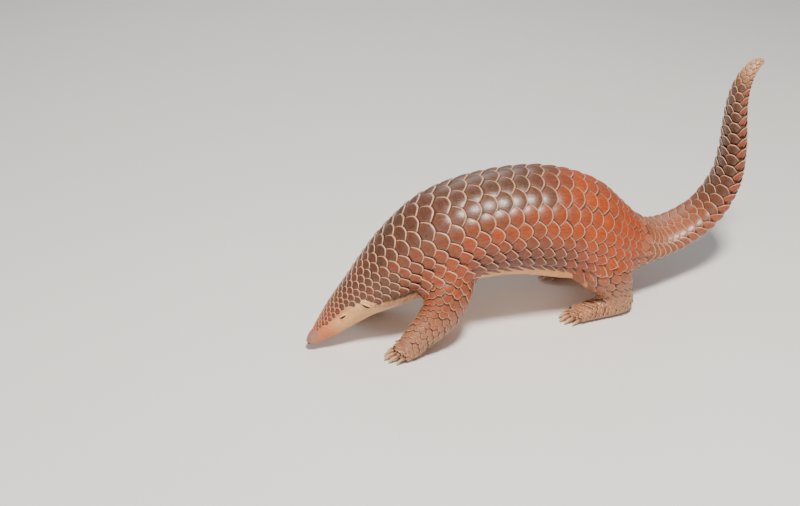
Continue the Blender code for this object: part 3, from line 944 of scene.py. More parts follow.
def toe_rows(tube, seed, number):
    """The measures of the small scales on top of one toe, down to the root of its claw."""
    random = np.random.default_rng(seed)
    step = TOE_SCALE_STEP
    rings = np.arange(1.5 * step, tube.length - 0.5 * MM, step)
    ring, row = lattice(rings, np.arange(-2, 3))
    keep = (np.abs(row) < 2) | (rings[ring] > TOE_RUN_UP)
    ring = ring[keep]
    row = row[keep]
    tip = rings[ring]
    angle = row * TOE_ROW_TURN
    wide = tube.sample(tip)[4]
    jitter = random.normal(size=(3, len(tip)))
    made = {
        "tip": tip + 0.08 * step * jitter[0],
        "angle": angle + 0.04 * jitter[1],
        "root_angle": angle,
        "length": 3.4 * step,
        "step": step,
        "half_width": TOE_ROW_TURN * 0.86 * wide * (1 + 0.03 * jitter[2]),
        "drop": 1.3 * step,
        "sharp": 0.2,
        "lift": 0.20 * MM,
        "slope": 0.20,
        "dome": 0.35 * MM,
        "bulge": 0.30 * MM,
        "flare": 0.15 * MM,
        "thick": 0.45 * MM,
        "rim": 0.7 * MM,
        "seed": random.random(len(tip)),
        "red": 0.45,
        "dark": 0.1,
        "pale": 0.35,
    }
    add_patches(made, ring, row + 2 + 5 * number, len(rings), 5 * len(TOE_SIZES))
    return made


def make_toes(tree, name, root, step, side, seed, horn):
    """The scales of all five toes of one foot, joined in one mesh."""
    pieces = []
    for number, size in enumerate(TOE_SIZES):
        start, heading = toe_frame(root, step, side, number)
        reach = TOE_LENGTH * toe_scale(size)
        centres = [start + heading * length for length in (-TOE_RUN_UP, 0.0, 0.5 * reach, 0.93 * reach)]
        radius = TOE_RADIUS * toe_scale(size)
        radii = [(radius * share, 0.86 * radius * share) for share in (1.3, 1.0, 0.9, 0.62)]
        tube = Tube(centres, radii)
        tube.fit_to(tree, TOE_FIT)
        pieces.append(plates("%s_%d" % (name, number), tube, toe_rows(tube, seed + number, number), 6, 6))
    first = pieces[0]
    with bpy.context.temp_override(active_object=first, object=first, selected_editable_objects=pieces):
        bpy.ops.object.join()
    first.name = name
    dress(first, horn, "foot_skin")


def subset(rows, keep):
    """The scales for which keep is true."""
    return {key: values[keep] for key, values in full(rows).items()}


def new_material(name):
    """A new material, its node tree and its Principled shader."""
    material = bpy.data.materials.new(name)
    material.use_nodes = True
    tree = material.node_tree
    shader = tree.nodes["Principled BSDF"]
    return material, tree, shader


def add_node(tree, kind, **settings):
    """A node with the given settings."""
    node = tree.nodes.new(kind)
    for key, value in settings.items():
        setattr(node, key, value)
    return node


def wire(tree, node, inputs):
    """Links sockets to a node's inputs, or sets the inputs to numbers, vectors or colours."""
    for key, source in dict(inputs).items():
        target = node.inputs[key]
        if hasattr(source, "links"):
            tree.links.new(source, target)
        elif isinstance(source, tuple):
            target.default_value = (*source, 1.0)[: len(target.default_value)]
        else:
            target.default_value = source


def calculate(tree, operation, first, second=0.0, third=0.0, clamp=False):
    """The result of one sum of up to three numbers."""
    node = add_node(tree, "ShaderNodeMath", operation=operation, use_clamp=clamp)
    wire(tree, node, enumerate((first, second, third)))
    return node.outputs[0]


def times(tree, first, second):
    """The product of two numbers."""
    return calculate(tree, "MULTIPLY", first, second)


def plus(tree, first, second, clamp=False):
    """The sum of two numbers."""
    return calculate(tree, "ADD", first, second, clamp=clamp)


def vector(tree, *parts):
    """A vector of three numbers."""
    node = add_node(tree, "ShaderNodeCombineXYZ")
    wire(tree, node, enumerate(parts))
    return node.outputs[0]


def roughen(tree, shader, height, strength, depth):
    """Gives a shader a relief."""
    node = add_node(tree, "ShaderNodeBump")
    wire(tree, node, {"Strength": strength, "Distance": depth, "Height": height})
    wire(tree, shader, {"Normal": node.outputs[0]})


def ranged(tree, value, low, high, start=0.0, end=1.0):
    """A value moved smoothly from the range low to high into the range start to end."""
    node = add_node(tree, "ShaderNodeMapRange", interpolation_type="SMOOTHSTEP")
    wire(tree, node, enumerate((value, low, high, start, end)))
    return node.outputs[0]


def mixed(tree, share, first, second):
    """Two colours mixed by a share."""
    node = add_node(tree, "ShaderNodeMix", data_type="RGBA")
    wire(tree, node, {"Factor": share, 6: first, 7: second})
    return node.outputs[2]


def blend(tree, value, pair, low=0.3, high=0.7):
    """The first colour of a pair where a value is low, and the second where it is high."""
    return mixed(tree, ranged(tree, value, low, high), *pair)


def noise(tree, place, size, detail=3.0, rough=0.55):
    """Noise whose blots are about size across."""
    node = add_node(tree, "ShaderNodeTexNoise")
    wire(tree, node, {"Scale": 1.0 / size, "Detail": detail, "Roughness": rough, "Vector": place})
    return node.outputs["Fac"]


def object_place(tree):
    """The place of a point in the axes of its own piece."""
    return add_node(tree, "ShaderNodeTexCoord").outputs["Object"]


def split_attribute(tree, name):
    """The four numbers kept at each point."""
    source = add_node(tree, "ShaderNodeAttribute", attribute_name=name)
    parts = add_node(tree, "ShaderNodeSeparateColor")
    wire(tree, parts, {0: source.outputs["Color"]})
    return (*parts.outputs, source.outputs["Alpha"])


def scale_material(name):
    """Horn: dark brown on the back, red on the flanks, with a pale rim that is partly wear and partly a
    painted highlight, painted shade under each covering scale, on the lower flanks and on the back of the
    upright tail, and fine growth lines.
    """
    material, tree, shader = new_material(name)
    rim, shown, side, seed = split_attribute(tree, "scale_shape")
    red, dark, pale, clear = split_attribute(tree, "scale_tint")
    place = object_place(tree)
    lengthwise = vector(tree, times(tree, side, 26.0), times(tree, shown, 2.2), times(tree, seed, 90.0))
    crosswise = vector(tree, times(tree, side, 2.5), times(tree, shown, 17.0), times(tree, seed, 70.0))
    streaks = noise(tree, lengthwise, 1.0, 4.0, 0.6)
    rings = noise(tree, crosswise, 1.0, 2.0, 0.5)
    blots = noise(tree, place, 9 * MM)
    grime = noise(tree, place, 2.2 * MM, 4.0, 0.65)

    redness = plus(tree, red, calculate(tree, "MULTIPLY_ADD", blots, 0.9, -0.45), clamp=True)
    redness = plus(tree, redness, calculate(tree, "MULTIPLY_ADD", seed, 0.50, -0.28), clamp=True)
    colour = mixed(tree, redness, blend(tree, streaks, HORN_BROWN), blend(tree, streaks, HORN_RUST))
    # Darker horn where dark is high: the back's own dark brown, and painted shade on the lower flanks and
    # the upright tail's back.
    colour = mixed(tree, times(tree, dark, 0.85), colour, blend(tree, grime, HORN_DARK_AND_SHADE, 0.35, 0.7))
    dusty = blend(tree, streaks, HORN_DUSTY, 0.3, 0.75)
    colour = mixed(tree, times(tree, pale, ranged(tree, grime, 0.3, 0.6, 0.45, 1.0)), colour, dusty)
    colour = mixed(tree, ranged(tree, clear, 0.10, 0.75, 0.30, 0.0), colour, HORN_ROOT)
    # The pale rim is partly wear and partly a painted highlight along each scale's edge.
    rim_wear_and_highlight = plus(tree, rim, times(tree, calculate(tree, "SUBTRACT", grime, 0.5), 0.5))
    colour = mixed(tree, ranged(tree, rim_wear_and_highlight, 0.14, 0.72, 0.0, 0.92), colour, HORN_RIM)
    # Painted shade: a dark line just under the edge of each covering scale.
    colour = mixed(tree, ranged(tree, clear, 0.02, 0.30, 0.85, 0.0), colour, HORN_PAINTED_SHADE)
    rough = plus(tree, ranged(tree, grime, 0.3, 0.7, 0.27, 0.42), times(tree, rim, 0.12))
    wire(tree, shader, {"Base Color": colour, "Roughness": rough})
    relief = plus(tree, times(tree, streaks, 0.50), times(tree, rings, 0.2))
    roughen(tree, shader, plus(tree, relief, times(tree, grime, 0.25)), 0.5, 0.5 * MM)
    return material


def dress(obj, material, slot_name, *nodes):
    """Gives a piece its material, lets it ride on the body, and hides the given solids."""
    obj.data.materials.clear()
    obj.data.materials.append(material)
    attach(obj, "root")
    if nodes:
        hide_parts(*nodes)


def refine(obj, wanted, rounds):
    """Splits the faces that wanted picks by their centres into four, and evens out the new points."""
    made = bmesh.new()
    made.from_mesh(obj.data)
    centres = np.array([face.calc_center_median() for face in made.faces])
    chosen = wanted(centres)
    edges = {edge for face, yes in zip(made.faces, chosen) if yes for edge in face.edges}
    bmesh.ops.subdivide_edges(made, edges=list(edges), cuts=1, use_grid_fill=True)
    places = np.array([vertex.co for vertex in made.verts])
    moved = [vertex for vertex, yes in zip(made.verts, wanted(places)) if yes]
    for _ in range(rounds):
        bmesh.ops.smooth_vert(
            made, verts=moved, factor=0.5, use_axis_x=True, use_axis_y=True, use_axis_z=True
        )
    made.to_mesh(obj.data)
    made.free()
    obj.data.shade_smooth()


def on_face(points):
    """Which points lie on the bare part of the head or next to it."""
    arc, angle, _ = spine_place(points)
    x = spine_x(arc)
    return (x < 0.088) & (np.abs(angle) > coat_edge(x) - 0.20)


def on_cheek(points):
    """Which points lie on the sides of the bare face, or at the nose."""
    arc, angle, _ = spine_place(points)
    x = spine_x(arc)
    turn = np.abs(angle)
    return (x < 0.016) | ((x < 0.086) & (turn > coat_edge(x) - 0.10) & (turn < 2.2))


def on_foot(points):
    """Which points lie on the toes."""
    x = nose_x(points)
    low = points[:, 2] < 0.015
    return low & (((x > 0.060) & (x < 0.128)) | ((x > 0.325) & (x < 0.41)))


def near_feature(points):
    """Which points lie next to an eye, an ear opening or the nose."""
    found = nose_x(points) < 0.0100
    for side, _ in SIDES:
        for place, reach in ((EYE, 7.5 * MM), (EAR, 10.0 * MM)):
            x, y, z = place
            centre = np.array([x - MIDDLE_X, side * y, z])
            found |= np.linalg.norm(points - centre, axis=1) < reach
    return found


def raise_to(tone, near, value):
    """Raises a tone at the picked points to a value, where it is lower."""
    tone[near] = np.maximum(tone[near], value)


def hump(distance, width):
    """A smooth hump of height 1 at distance 0."""
    return np.exp(-((distance / width) ** 2))


def opening(a, b, half_length, above, below):
    """Signed distance to the edge of a pointed oval opening, below zero inside it."""
    share = np.clip(np.abs(a) / half_length, 0.0, 1.0)
    shape = 1.0 - share**2
    gap = np.maximum(b - above * shape, -below * shape - b)
    past = np.maximum(np.abs(a) - half_length, 0.0)
    return np.where(past > 0, np.hypot(past, b), gap)


def shape_eye(points, tone, side):
    """Draws lids over one eyeball, with a fold above and below, and opens them."""
    spot = Spot(EYE, side, EYE_TILT, EYE_SUNK)
    a, b, c = spot.local(points)
    near = np.flatnonzero((np.hypot(a, b) < 10 * MM) & (c > -4 * MM))
    a, b, c = a[near], b[near], c[near]
    across = a**2 + b**2
    ball = np.sqrt(np.maximum(EYE_RADIUS**2 - across, 0.0))
    cap = np.sqrt(np.maximum((EYE_RADIUS + LID_THICK) ** 2 - across, 0.0))
    lid = 0.5 * (c + cap + np.sqrt((c - cap) ** 2 + (0.7 * MM) ** 2)) - 0.12 * MM
    gap = opening(a, b, LID_HALF_LENGTH, LID_UPPER, LID_LOWER)
    upper = smoothstep(-0.3 * MM, 0.3 * MM, b)
    lid = lid + hump(gap - 0.75 * MM, 0.5 * MM) * (0.42 - 0.10 * upper) * MM
    window = hump(a, 5.2 * MM)
    shape = 1 - np.clip(np.abs(a) / (1.6 * LID_HALF_LENGTH), 0, 1) ** 2
    for height, depth, width in ((2.3, -0.50, 0.40), (3.3, 0.30, 0.70), (4.4, -0.22, 0.45)):
        lid = lid + upper * window * hump(b - (LID_UPPER + height * MM) * shape, width * MM) * depth * MM
    for height, depth, width in ((2.2, -0.40, 0.40), (3.6, -0.25, 0.45)):
        place = b + (LID_LOWER + height * MM) * shape
        lid = lid + (1 - upper) * window * hump(place, width * MM) * depth * MM
    open_share = fade(-0.25 * MM, 0.12 * MM, gap)
    lid = lid + (ball - 1.0 * MM - lid) * open_share
    points[near] += np.outer(lid - c, spot.out)
    # Painted shade inside the lid opening.
    raise_to(tone["dark"], near, fade(0.05 * MM, 0.45 * MM, gap))
    # The pale lid rim is paler skin and a painted highlight on the raised rim.
    rim = hump(gap - 1.0 * MM, 0.7 * MM) * fade(-0.2, 0.3, tone["dark"][near])
    raise_to(tone["pale"], near, rim * (1.0 - 0.55 * upper))
    # Painted shade in the fold above the upper lid.
    fold = upper * window * hump(b - (LID_UPPER + 2.3 * MM) * shape, 0.45 * MM)
    raise_to(tone["dark"], near, 0.35 * fold)


def shape_ear(points, tone, side):
    """Opens one ear: a deep slit across the head between two thick folds."""
    spot = Spot(EAR, side, EAR_TILT)
    a, b, c = spot.local(points)
    near = np.flatnonzero((np.abs(a) < 13 * MM) & (np.abs(b) < 10 * MM) & (c > -8 * MM))
    a, b = a[near], b[near]
    gap = opening(a, b, EAR_HALF_LENGTH, EAR_HALF_WIDTH, EAR_HALF_WIDTH * 0.8)
    ends = fade(0.75 * EAR_HALF_LENGTH, 1.5 * EAR_HALF_LENGTH, np.abs(a))
    rear = smoothstep(-0.5 * MM, 0.5 * MM, b)
    rise = hump(gap - 1.3 * MM, 0.9 * MM) * (0.55 + 0.75 * rear) * ends * MM
    rise -= hump(gap - 3.4 * MM, 0.55 * MM) * (0.25 + 0.35 * rear) * ends * MM
    rise += hump(gap - 4.6 * MM, 0.8 * MM) * 0.30 * ends * MM
    rise -= fade(-0.45 * MM, 0.35 * MM, gap) * EAR_DEEP
    points[near] += np.outer(rise, spot.out)
    # Painted shade deep in the ear slit.
    raise_to(tone["dark"], near, fade(-0.3 * MM, 0.5 * MM, gap))
    # The pale band on the fold's ridge is paler skin and a painted highlight.
    raise_to(tone["pale"], near, 0.8 * hump(gap - 1.7 * MM, 1.0 * MM) * ends)
    # Painted shade in the crease behind the fold.
    crease = hump(gap - 3.4 * MM, 0.6 * MM) * ends
    raise_to(tone["dark"], near, 0.30 * crease)


def shape_nose(points, tone):
    """Opens two nostrils, and creases the pad between and behind them."""
    _, x, z, _, _ = SPINE[0]
    middle = np.array([x - MIDDLE_X, 0.0, z])
    ahead = unit(spine.sample(np.array(0.0))[0] - spine.sample(np.array(0.002))[0])
    over = unit(np.cross(ahead, [0.0, 1.0, 0.0]))
    over = over * np.sign(over[2])
    forward = (points - middle) @ ahead
    radius = np.linalg.norm(points - middle - np.outer(forward, ahead), axis=1)
    pad = smoothstep(-3.0 * MM, 0.5 * MM, forward) * (1 - np.clip(radius / PAD_RADIUS, 0, 1) ** 2)
    stretch = NOSE_REACH * smoothstep(-NOSE_ROOT, 0.5 * MM, forward)
    points += np.outer(pad * PAD_RISE + stretch, ahead)
    offset = points - middle - ahead * NOSE_REACH
    forward = offset @ ahead
    front = np.flatnonzero(forward > -9 * MM)
    for side, _ in SIDES:
        forth, out, up = NOSTRIL_AIM
        aim = unit(ahead * forth + np.array([0.0, side * out, 0.0]) + over * up)
        right = unit(np.cross(aim, over))
        above = np.cross(right, aim)
        part = offset[front] - np.array([0.0, side * NOSTRIL_APART, 0.0]) - over * NOSTRIL_UP
        facing = offset[front] @ ahead > -5 * MM
        shift = above * (part @ right * side)[:, None] * 0.25
        a = (part @ right) / NOSTRIL_SIZE[0]
        b = ((part + shift) @ above) / NOSTRIL_SIZE[1]
        reach = np.hypot(a, b)
        pit = fade(0.50, 1.10, reach) * facing
        points[front] -= np.outer(pit * NOSTRIL_DEEP, aim)
        points[front] += np.outer(hump(reach - 1.55, 0.45) * facing * 0.40 * MM, aim)
        # Painted shade inside each nostril.
        raise_to(tone["dark"], front, fade(0.55, 1.15, reach) * facing)
    sideways = offset[front][:, 1]
    low = fade(-1.5 * MM, 1.5 * MM, offset[front] @ over)
    groove = hump(sideways, 0.45 * MM) * smoothstep(-1 * MM, 2 * MM, forward[front]) * low
    crease = hump(forward[front] + 4.2 * MM, 0.6 * MM)
    points[front] -= np.outer((groove * 0.35 + crease * 0.30) * MM, ahead)
    # Painted shade in the groove and the crease of the pad.
    raise_to(tone["dark"], front, 0.5 * groove)
    raise_to(tone["dark"], front, 0.3 * crease)


def shape_mouth(points, normals, tone, x, turn):
    """Cuts the narrow slit of the mouth under the muzzle."""
    share = (x - MOUTH_START[0]) / (MOUTH_END[0] - MOUTH_START[0])
    line = np.radians(MOUTH_START[1] + (MOUTH_END[1] - MOUTH_START[1]) * np.clip(share, 0, 1))
    radius = 12 * MM
    apart = (turn - line) * radius
    ends = smoothstep(-0.15, 0.10, share) * fade(0.90, 1.08, share)
    cut = hump(apart, MOUTH_WIDTH) * ends
    lip = (hump(apart - 1.1 * MM, 0.6 * MM) + hump(apart + 1.1 * MM, 0.6 * MM)) * ends
    points += normals * (lip * 0.25 * MM - cut * MOUTH_DEEP)[:, None]
    # Painted shade in the slit of the mouth.
    raise_to(tone["dark"], slice(None), 0.8 * cut)


def wrinkle(points, normals, share):
    """Fine uneven folds where share is above zero."""
    for index in np.flatnonzero(share > 0.01):
        place = Vector(points[index] * 1000.0)
        rise = sum(value_noise(place / size) * depth for size, depth in FOLDS)
        points[index] += normals[index] * rise * share[index] * MM


def make_skin(flesh):
    """Sinks the outer surface by the depth of the coat, and shapes the bare parts."""
    refine(flesh, lambda places: on_face(places) | on_foot(places), 3)
    refine(flesh, on_cheek, 3)
    refine(flesh, near_feature, 2)
    mesh = flesh.data
    points = points_of(mesh)
    normals = normals_of(mesh)
    arc, angle, reach = spine_place(points)
    x = spine_x(arc)
    turn = np.abs(angle)
    tail = smoothstep(station_arc("tail_root"), station_arc("tail_low"), arc)
    body = HEAD_DEPTH + (TRUNK_DEPTH - HEAD_DEPTH) * smoothstep(0.08, 0.16, x)
    thin = smoothstep(station_arc("tail_upright"), spine.length, arc)
    body = body + (TAIL_DEPTH * (1 - 0.72 * thin) - body) * tail
    edge = coat_edge(x) - 0.8 * fade(0.0095, 0.0165, x)
    bare = smoothstep(edge - 0.10, edge + 0.14, turn) * (1 - tail)
    depth = body + (BARE_DEPTH - body) * bare
    leg = smoothstep(1.15, 1.38, reach) * (1 - tail) * smoothstep(0.072, 0.082, nose_x(points))
    foot = fade(0.005, 0.014, points[:, 2])
    leg_depth = LEG_DEPTH + (BARE_DEPTH - LEG_DEPTH) * foot
    depth = depth + (leg_depth - depth) * leg
    points -= normals * depth[:, None]
    set_points(mesh, points)
    normals = normals_of(mesh)

    # Painted shade on the skin: dark under the edge of the coat, in the gap along the neck and on the legs
    # under their scales.
    under = fade(edge - 0.12, edge + 0.02, turn) * (1 - leg)
    neck_gap = hump(turn - edge - 0.01, 0.085) * smoothstep(0.074, 0.085, x) * fade(0.15, 0.18, x)
    toes = leg * foot
    legs = leg * (1 - foot)
    close = hump((turn - edge) * 25 * MM, 5 * MM) * fade(0.05, 0.07, x)
    tone = {
        "red": np.maximum(0.95 * fade(0.014, 0.044, x), 0.85 * close),
        "grey": fade(0.006, 0.013, nose_x(points)),
        "dark": np.maximum(np.maximum(0.75 * under, 0.95 * neck_gap), 0.35 * legs),
        # The pale tone on the cheeks is paler skin and a painted highlight.
        "pale": 0.5 * smoothstep(0.044, 0.07, x) * fade(0.10, 0.16, x),
    }
    face = fade(0.13, 0.17, x) * bare
    wrinkle(points, normals, np.maximum(1.15 * face, toes))
    shape_mouth(points, normals, tone, nose_x(points), turn)
    shape_nose(points, tone)
    for side, _ in SIDES:
        shape_eye(points, tone, side)
        shape_ear(points, tone, side)
    set_points(mesh, points)
    store(mesh, "skin_tone", np.stack([tone[key] for key in SKIN_TONES], axis=-1))
    store(mesh, "skin_dust", np.stack([toes] * 4, axis=-1))
    return flesh


def skin_material():
    """Bare skin: pale tan on the face with a painted highlight on the cheeks, lid rims and ear folds, red at
    the muzzle, grey-pink at the nose, and painted shade under the scales, in the openings and in the
    creases.
    """
    material, tree, shader = new_material("skin")
    red, grey, dark, pale = split_attribute(tree, "skin_tone")
    dust, _, _, _ = split_attribute(tree, "skin_dust")
    place = object_place(tree)
    blots = noise(tree, place, 9 * MM)
    fine = noise(tree, place, 1.1 * MM, 4.0, 0.65)
    grain = noise(tree, place, 0.35 * MM, 3.0, 0.6)
    warm = plus(tree, red, times(tree, calculate(tree, "SUBTRACT", blots, 0.5), 0.6))
    rust = mixed(tree, fine, *SKIN_RUST)
    colour = mixed(tree, ranged(tree, warm, 0.1, 0.95), blend(tree, blots, SKIN_TAN), rust)
    # Paler skin with a painted highlight where the pale tone is high.
    colour = mixed(tree, times(tree, pale, 0.8), colour, mixed(tree, fine, *SKIN_PALE_AND_HIGHLIGHT))
    colour = mixed(tree, times(tree, grey, 0.9), colour, mixed(tree, fine, *SKIN_PAD))
    colour = mixed(tree, dust, colour, blend(tree, fine, SKIN_DUSTY, 0.35, 0.65))
    colour = mixed(tree, ranged(tree, fine, 0.30, 0.48, 0.35, 0.0), colour, SKIN_PIT)
    # Painted shade, nearly black, where the dark tone is high.
    colour = mixed(tree, ranged(tree, dark, 0.0, 1.0, 0.0, 0.97), colour, SKIN_PAINTED_SHADE)
    rough = calculate(tree, "SUBTRACT", ranged(tree, fine, 0.3, 0.7, 0.52, 0.68), times(tree, grey, 0.2))
    wire(tree, shader, {"Base Color": colour, "Roughness": rough})
    wire(tree, shader, {
        "Subsurface Weight": 0.08,
        "Subsurface Radius": (1.0, 0.4, 0.25),
        "Subsurface Scale": 0.8 * MM,
    })
    roughen(tree, shader, plus(tree, fine, times(tree, grain, 0.35)), 0.7, 0.35 * MM)
    return material


def fringe_rows():
    """The measures of the pale points along the edge of the throat's bare skin."""
    random = np.random.default_rng(SEED + 2)
    start, end = (float(np.interp(x, spine_x(spine.arc), spine.arc)) for x in (FRINGE_START, FRINGE_END))
    arcs = np.arange(start, end, FRINGE_STEP)
    index, row = np.meshgrid(np.arange(len(arcs)), np.array([0, 1]), indexing="ij")
    index = np.tile(index.ravel(), 2)
    row = np.tile(row.ravel(), 2)
    side = np.repeat([-1.0, 1.0], len(index) // 2)
    jitter = random.normal(size=(4, len(index)))
    tip = arcs[index] + (0.5 * row + 0.12 * jitter[0]) * FRINGE_STEP
    x = spine_x(tip)
    turn = coat_edge(x) + 0.05 + 0.10 * row + 0.015 * jitter[1]
    size = 0.95 + 0.22 * np.clip(jitter[2], -1.6, 1.6) - 0.35 * smoothstep(0.10, 0.14, x)
    made = {
        "tip": tip,
        "angle": side * turn,
        "root_angle": side * (turn + 0.30),
        "length": 9.5 * MM * size,
        "step": 5.5 * MM,
        "half_width": 3.2 * MM * size,
        "drop": 7.0 * MM * size,
        "sharp": 0.95,
        "lift": (0.9 - 0.15 * row) * MM,
        "slope": 0.30,
        "dome": 0.5 * MM * size,
        "bulge": 0.1 * MM * size,
        "flare": 1.0 * MM * size,
        "thick": 0.45 * MM * size,
        "rim": 0.5 * MM * size,
        "seed": random.random(len(tip)),
        "red": 0.2,
        "dark": np.zeros(len(tip)),
        "pale": 1.3,
    }
    add_patches(made, index, row + 2 * (side > 0), len(arcs), 4)
    return made


def toe_scale(size):
    """Toes differ less in girth than their claws do."""
    return 0.75 + 0.25 * size


def toe_frame(root, step, side, number):
    """The start and heading of one toe."""
    place = number - 2
    heading = np.array([-math.cos(TOE_FAN * place), side * math.sin(TOE_FAN * place), 0.0])
    x = root[0] + (step if side > 0 else 0.0) + TOE_SET_BACK * place**2 - MIDDLE_X
    return np.array([x, side * (root[1] + TOE_SPREAD * place), root[2]]), heading


def claw_points(start, heading, length, size):
    """The rings of one curved claw, and how far along and round each point lies."""
    f = np.linspace(0.0, 1.0, CLAW_RINGS + 1) ** 0.85
    bend = CLAW_DROP * f
    down = np.array([0.0, 0.0, -1.0])
    along = np.outer(np.cos(bend), heading) + np.outer(np.sin(bend), down)
    steps = along[:-1] * (np.diff(f) * length)[:, None]
    centres = np.vstack([np.zeros(3), np.cumsum(steps, axis=0)]) + start
    across = unit(np.cross(heading, down))
    up = np.cross(along, across)
    up = up * np.sign(up[:, 2:3])
    turn = np.linspace(0, 2 * math.pi, CLAW_SIDES, endpoint=False)
    thin = 0.045 + 0.955 * np.sqrt(np.clip(1 - f**2.2, 0, 1))
    high = np.cos(turn)
    high = np.where(high < 0, high * 0.72, high)
    side = np.sin(turn) * (1 - 0.18 * np.clip(-np.cos(turn), 0, 1))
    offset = up[:, None, :] * (CLAW_HALF_HEIGHT * size * thin[:, None] * high[None])[..., None]
    offset = offset + across * (CLAW_HALF_WIDTH * size * thin[:, None] * side[None])[..., None]
    points = (centres[:, None, :] + offset).reshape(-1, 3)
    grow = np.stack(np.broadcast_arrays(f[:, None], turn[None] / (2 * math.pi)), axis=-1).reshape(-1, 2)
    return points, grow


def make_claws(kind, root, step, length, side, word):
    """The five claws of one foot, joined in one mesh."""
    vertices = []
    faces = []
    grows = []
    for number, size in enumerate(TOE_SIZES):
        start, heading = toe_frame(root, step, side, number)
        start = start + heading * (TOE_LENGTH * toe_scale(size) - CLAW_IN_TOE)
        start[2] += CLAW_LIFT
        points, grow = claw_points(start, heading, CLAW_SHARE * length * (0.45 + 0.55 * size), size)
        seed = np.full((len(points), 1), 0.13 * (number + 1))
        first = sum(len(v) for v in vertices)
        for ring in range(CLAW_RINGS):
            for k in range(CLAW_SIDES):
                after = (k + 1) % CLAW_SIDES
                low = first + ring * CLAW_SIDES
                quad = [low + k, low + after, low + CLAW_SIDES + after, low + CLAW_SIDES + k]
                faces.append(quad if side < 0 else quad[::-1])
        vertices.append(points)
        grows.append(np.hstack([grow, seed, np.ones_like(seed)]))
    obj = mesh_object("claws_" + kind + "_" + word, np.vstack(vertices), faces)
    made = bmesh.new()
    made.from_mesh(obj.data)
    bmesh.ops.holes_fill(made, edges=[edge for edge in made.edges if edge.is_boundary])
    bmesh.ops.recalc_face_normals(made, faces=made.faces)
    made.to_mesh(obj.data)
    made.free()
    obj.data.shade_smooth()
    store(obj.data, "claw_place", np.vstack(grows))
    return obj


def claw_material():
    """Light orange-brown horn, paler at the tip, with fine lengthwise grooves."""
    material, tree, shader = new_material("claw_horn")
    along, round_it, seed, _ = split_attribute(tree, "claw_place")
    place = object_place(tree)
    turn = times(tree, round_it, 2 * math.pi)
    x, y = (times(tree, calculate(tree, wave, turn), 5.0) for wave in ("COSINE", "SINE"))
    grooves = noise(tree, vector(tree, x, y, plus(tree, times(tree, seed, 60.0), along)), 1.0, 3.0, 0.6)
    grime = noise(tree, place, 1.5 * MM, 4.0, 0.65)
    base = blend(tree, grooves, CLAW_BASE)
    colour = mixed(tree, ranged(tree, along, 0.25, 0.95), base, blend(tree, grooves, CLAW_TIP))
    colour = mixed(tree, ranged(tree, grime, 0.52, 0.72, 0.0, 0.65), colour, CLAW_GRIME)
    colour = mixed(tree, ranged(tree, along, 0.16, 0.30, 0.75, 0.0), colour, CLAW_ROOT)
    wire(tree, shader, {"Base Color": colour, "Roughness": ranged(tree, grime, 0.3, 0.7, 0.28, 0.50)})
    roughen(tree, shader, plus(tree, grooves, times(tree, grime, 0.4)), 0.5, 0.25 * MM)
    return material


def make_eye(side, word):
    """One eyeball with a slightly raised cornea, sunk behind its lids."""
    spot = Spot(EYE, side, EYE_TILT, EYE_SUNK)
    made = bmesh.new()
    bmesh.ops.create_uvsphere(made, u_segments=48, v_segments=32, radius=1.0)
    points = np.array([vertex.co for vertex in made.verts])
    facing = points[:, 2]
    cornea = 1 + CORNEA_RISE * smoothstep(0.80, 0.97, facing)
    offset = points * cornea[:, None] * EYE_RADIUS
    placed = spot.centre + np.outer(offset[:, 0], spot.along) + np.outer(offset[:, 1], spot.up)
    placed = placed + np.outer(offset[:, 2], spot.out)
    for vertex, point in zip(made.verts, placed):
        vertex.co = point
    bmesh.ops.recalc_face_normals(made, faces=made.faces)
    mesh = bpy.data.meshes.new("eyeball_" + word)
    made.to_mesh(mesh)
    made.free()
    mesh.shade_smooth()
    obj = bpy.data.objects.new("eyeball_" + word, mesh)
    bpy.context.scene.collection.objects.link(obj)
    store(mesh, "eye_place", np.stack([facing * 0.5 + 0.5] * 4, axis=-1))
    return obj


def eye_material():
    """A dark brown eye with a black pupil under a thin wet film."""
    material, tree, shader = new_material("eyeball")
    facing, _, _, _ = split_attribute(tree, "eye_place")
    place = object_place(tree)
    fibres = noise(tree, place, 0.5 * MM, 3.0, 0.6)
    white = mixed(tree, fibres, *EYE_WHITE)
    iris = mixed(tree, fibres, *EYE_IRIS)
    colour = mixed(tree, ranged(tree, facing, 0.880, 0.900), white, iris)
    colour = mixed(tree, ranged(tree, facing, 0.955, 0.965), colour, EYE_PUPIL)
    wire(tree, shader, {"Base Color": colour, "Roughness": ranged(tree, fibres, 0.3, 0.7, 0.10, 0.18)})
    wire(tree, shader, {"Specular IOR Level": 0.25, "Coat Weight": 0.25, "Coat Roughness": 0.12})
    return material


def make_stage():
    """A plain pale floor, soft lamps and an even grey surround."""
    half = FLOOR_HALF
    corners = [(-half, -half, 0), (half, -half, 0), (half, half, 0), (-half, half, 0)]
    floor = mesh_object("floor", corners, [(0, 1, 2, 3)], smooth=False)
    material, tree, shader = new_material("floor")
    tone = noise(tree, object_place(tree), 0.4, 2.0)
    wire(tree, shader, {"Base Color": mixed(tree, tone, *FLOOR_GREYS), "Roughness": 0.75})
    floor.data.materials.append(material)
    world = bpy.data.worlds.new("studio")
    world.use_nodes = True
    surround = world.node_tree.nodes["Background"]
    wire(world.node_tree, surround, {"Color": SURROUND, "Strength": SURROUND_STRENGTH})
    bpy.context.scene.world = world
    for name, place, size, power, colour in LAMPS:
        light = bpy.data.lights.new(name, "AREA")
        light.size = size
        light.energy = power
        light.color = colour
        lamp = bpy.data.objects.new(name, light)
        lamp.location = place
        lamp.rotation_euler = (Vector(LAMP_AIM) - Vector(place)).to_track_quat("-Z", "Y").to_euler()
        bpy.context.scene.collection.objects.link(lamp)


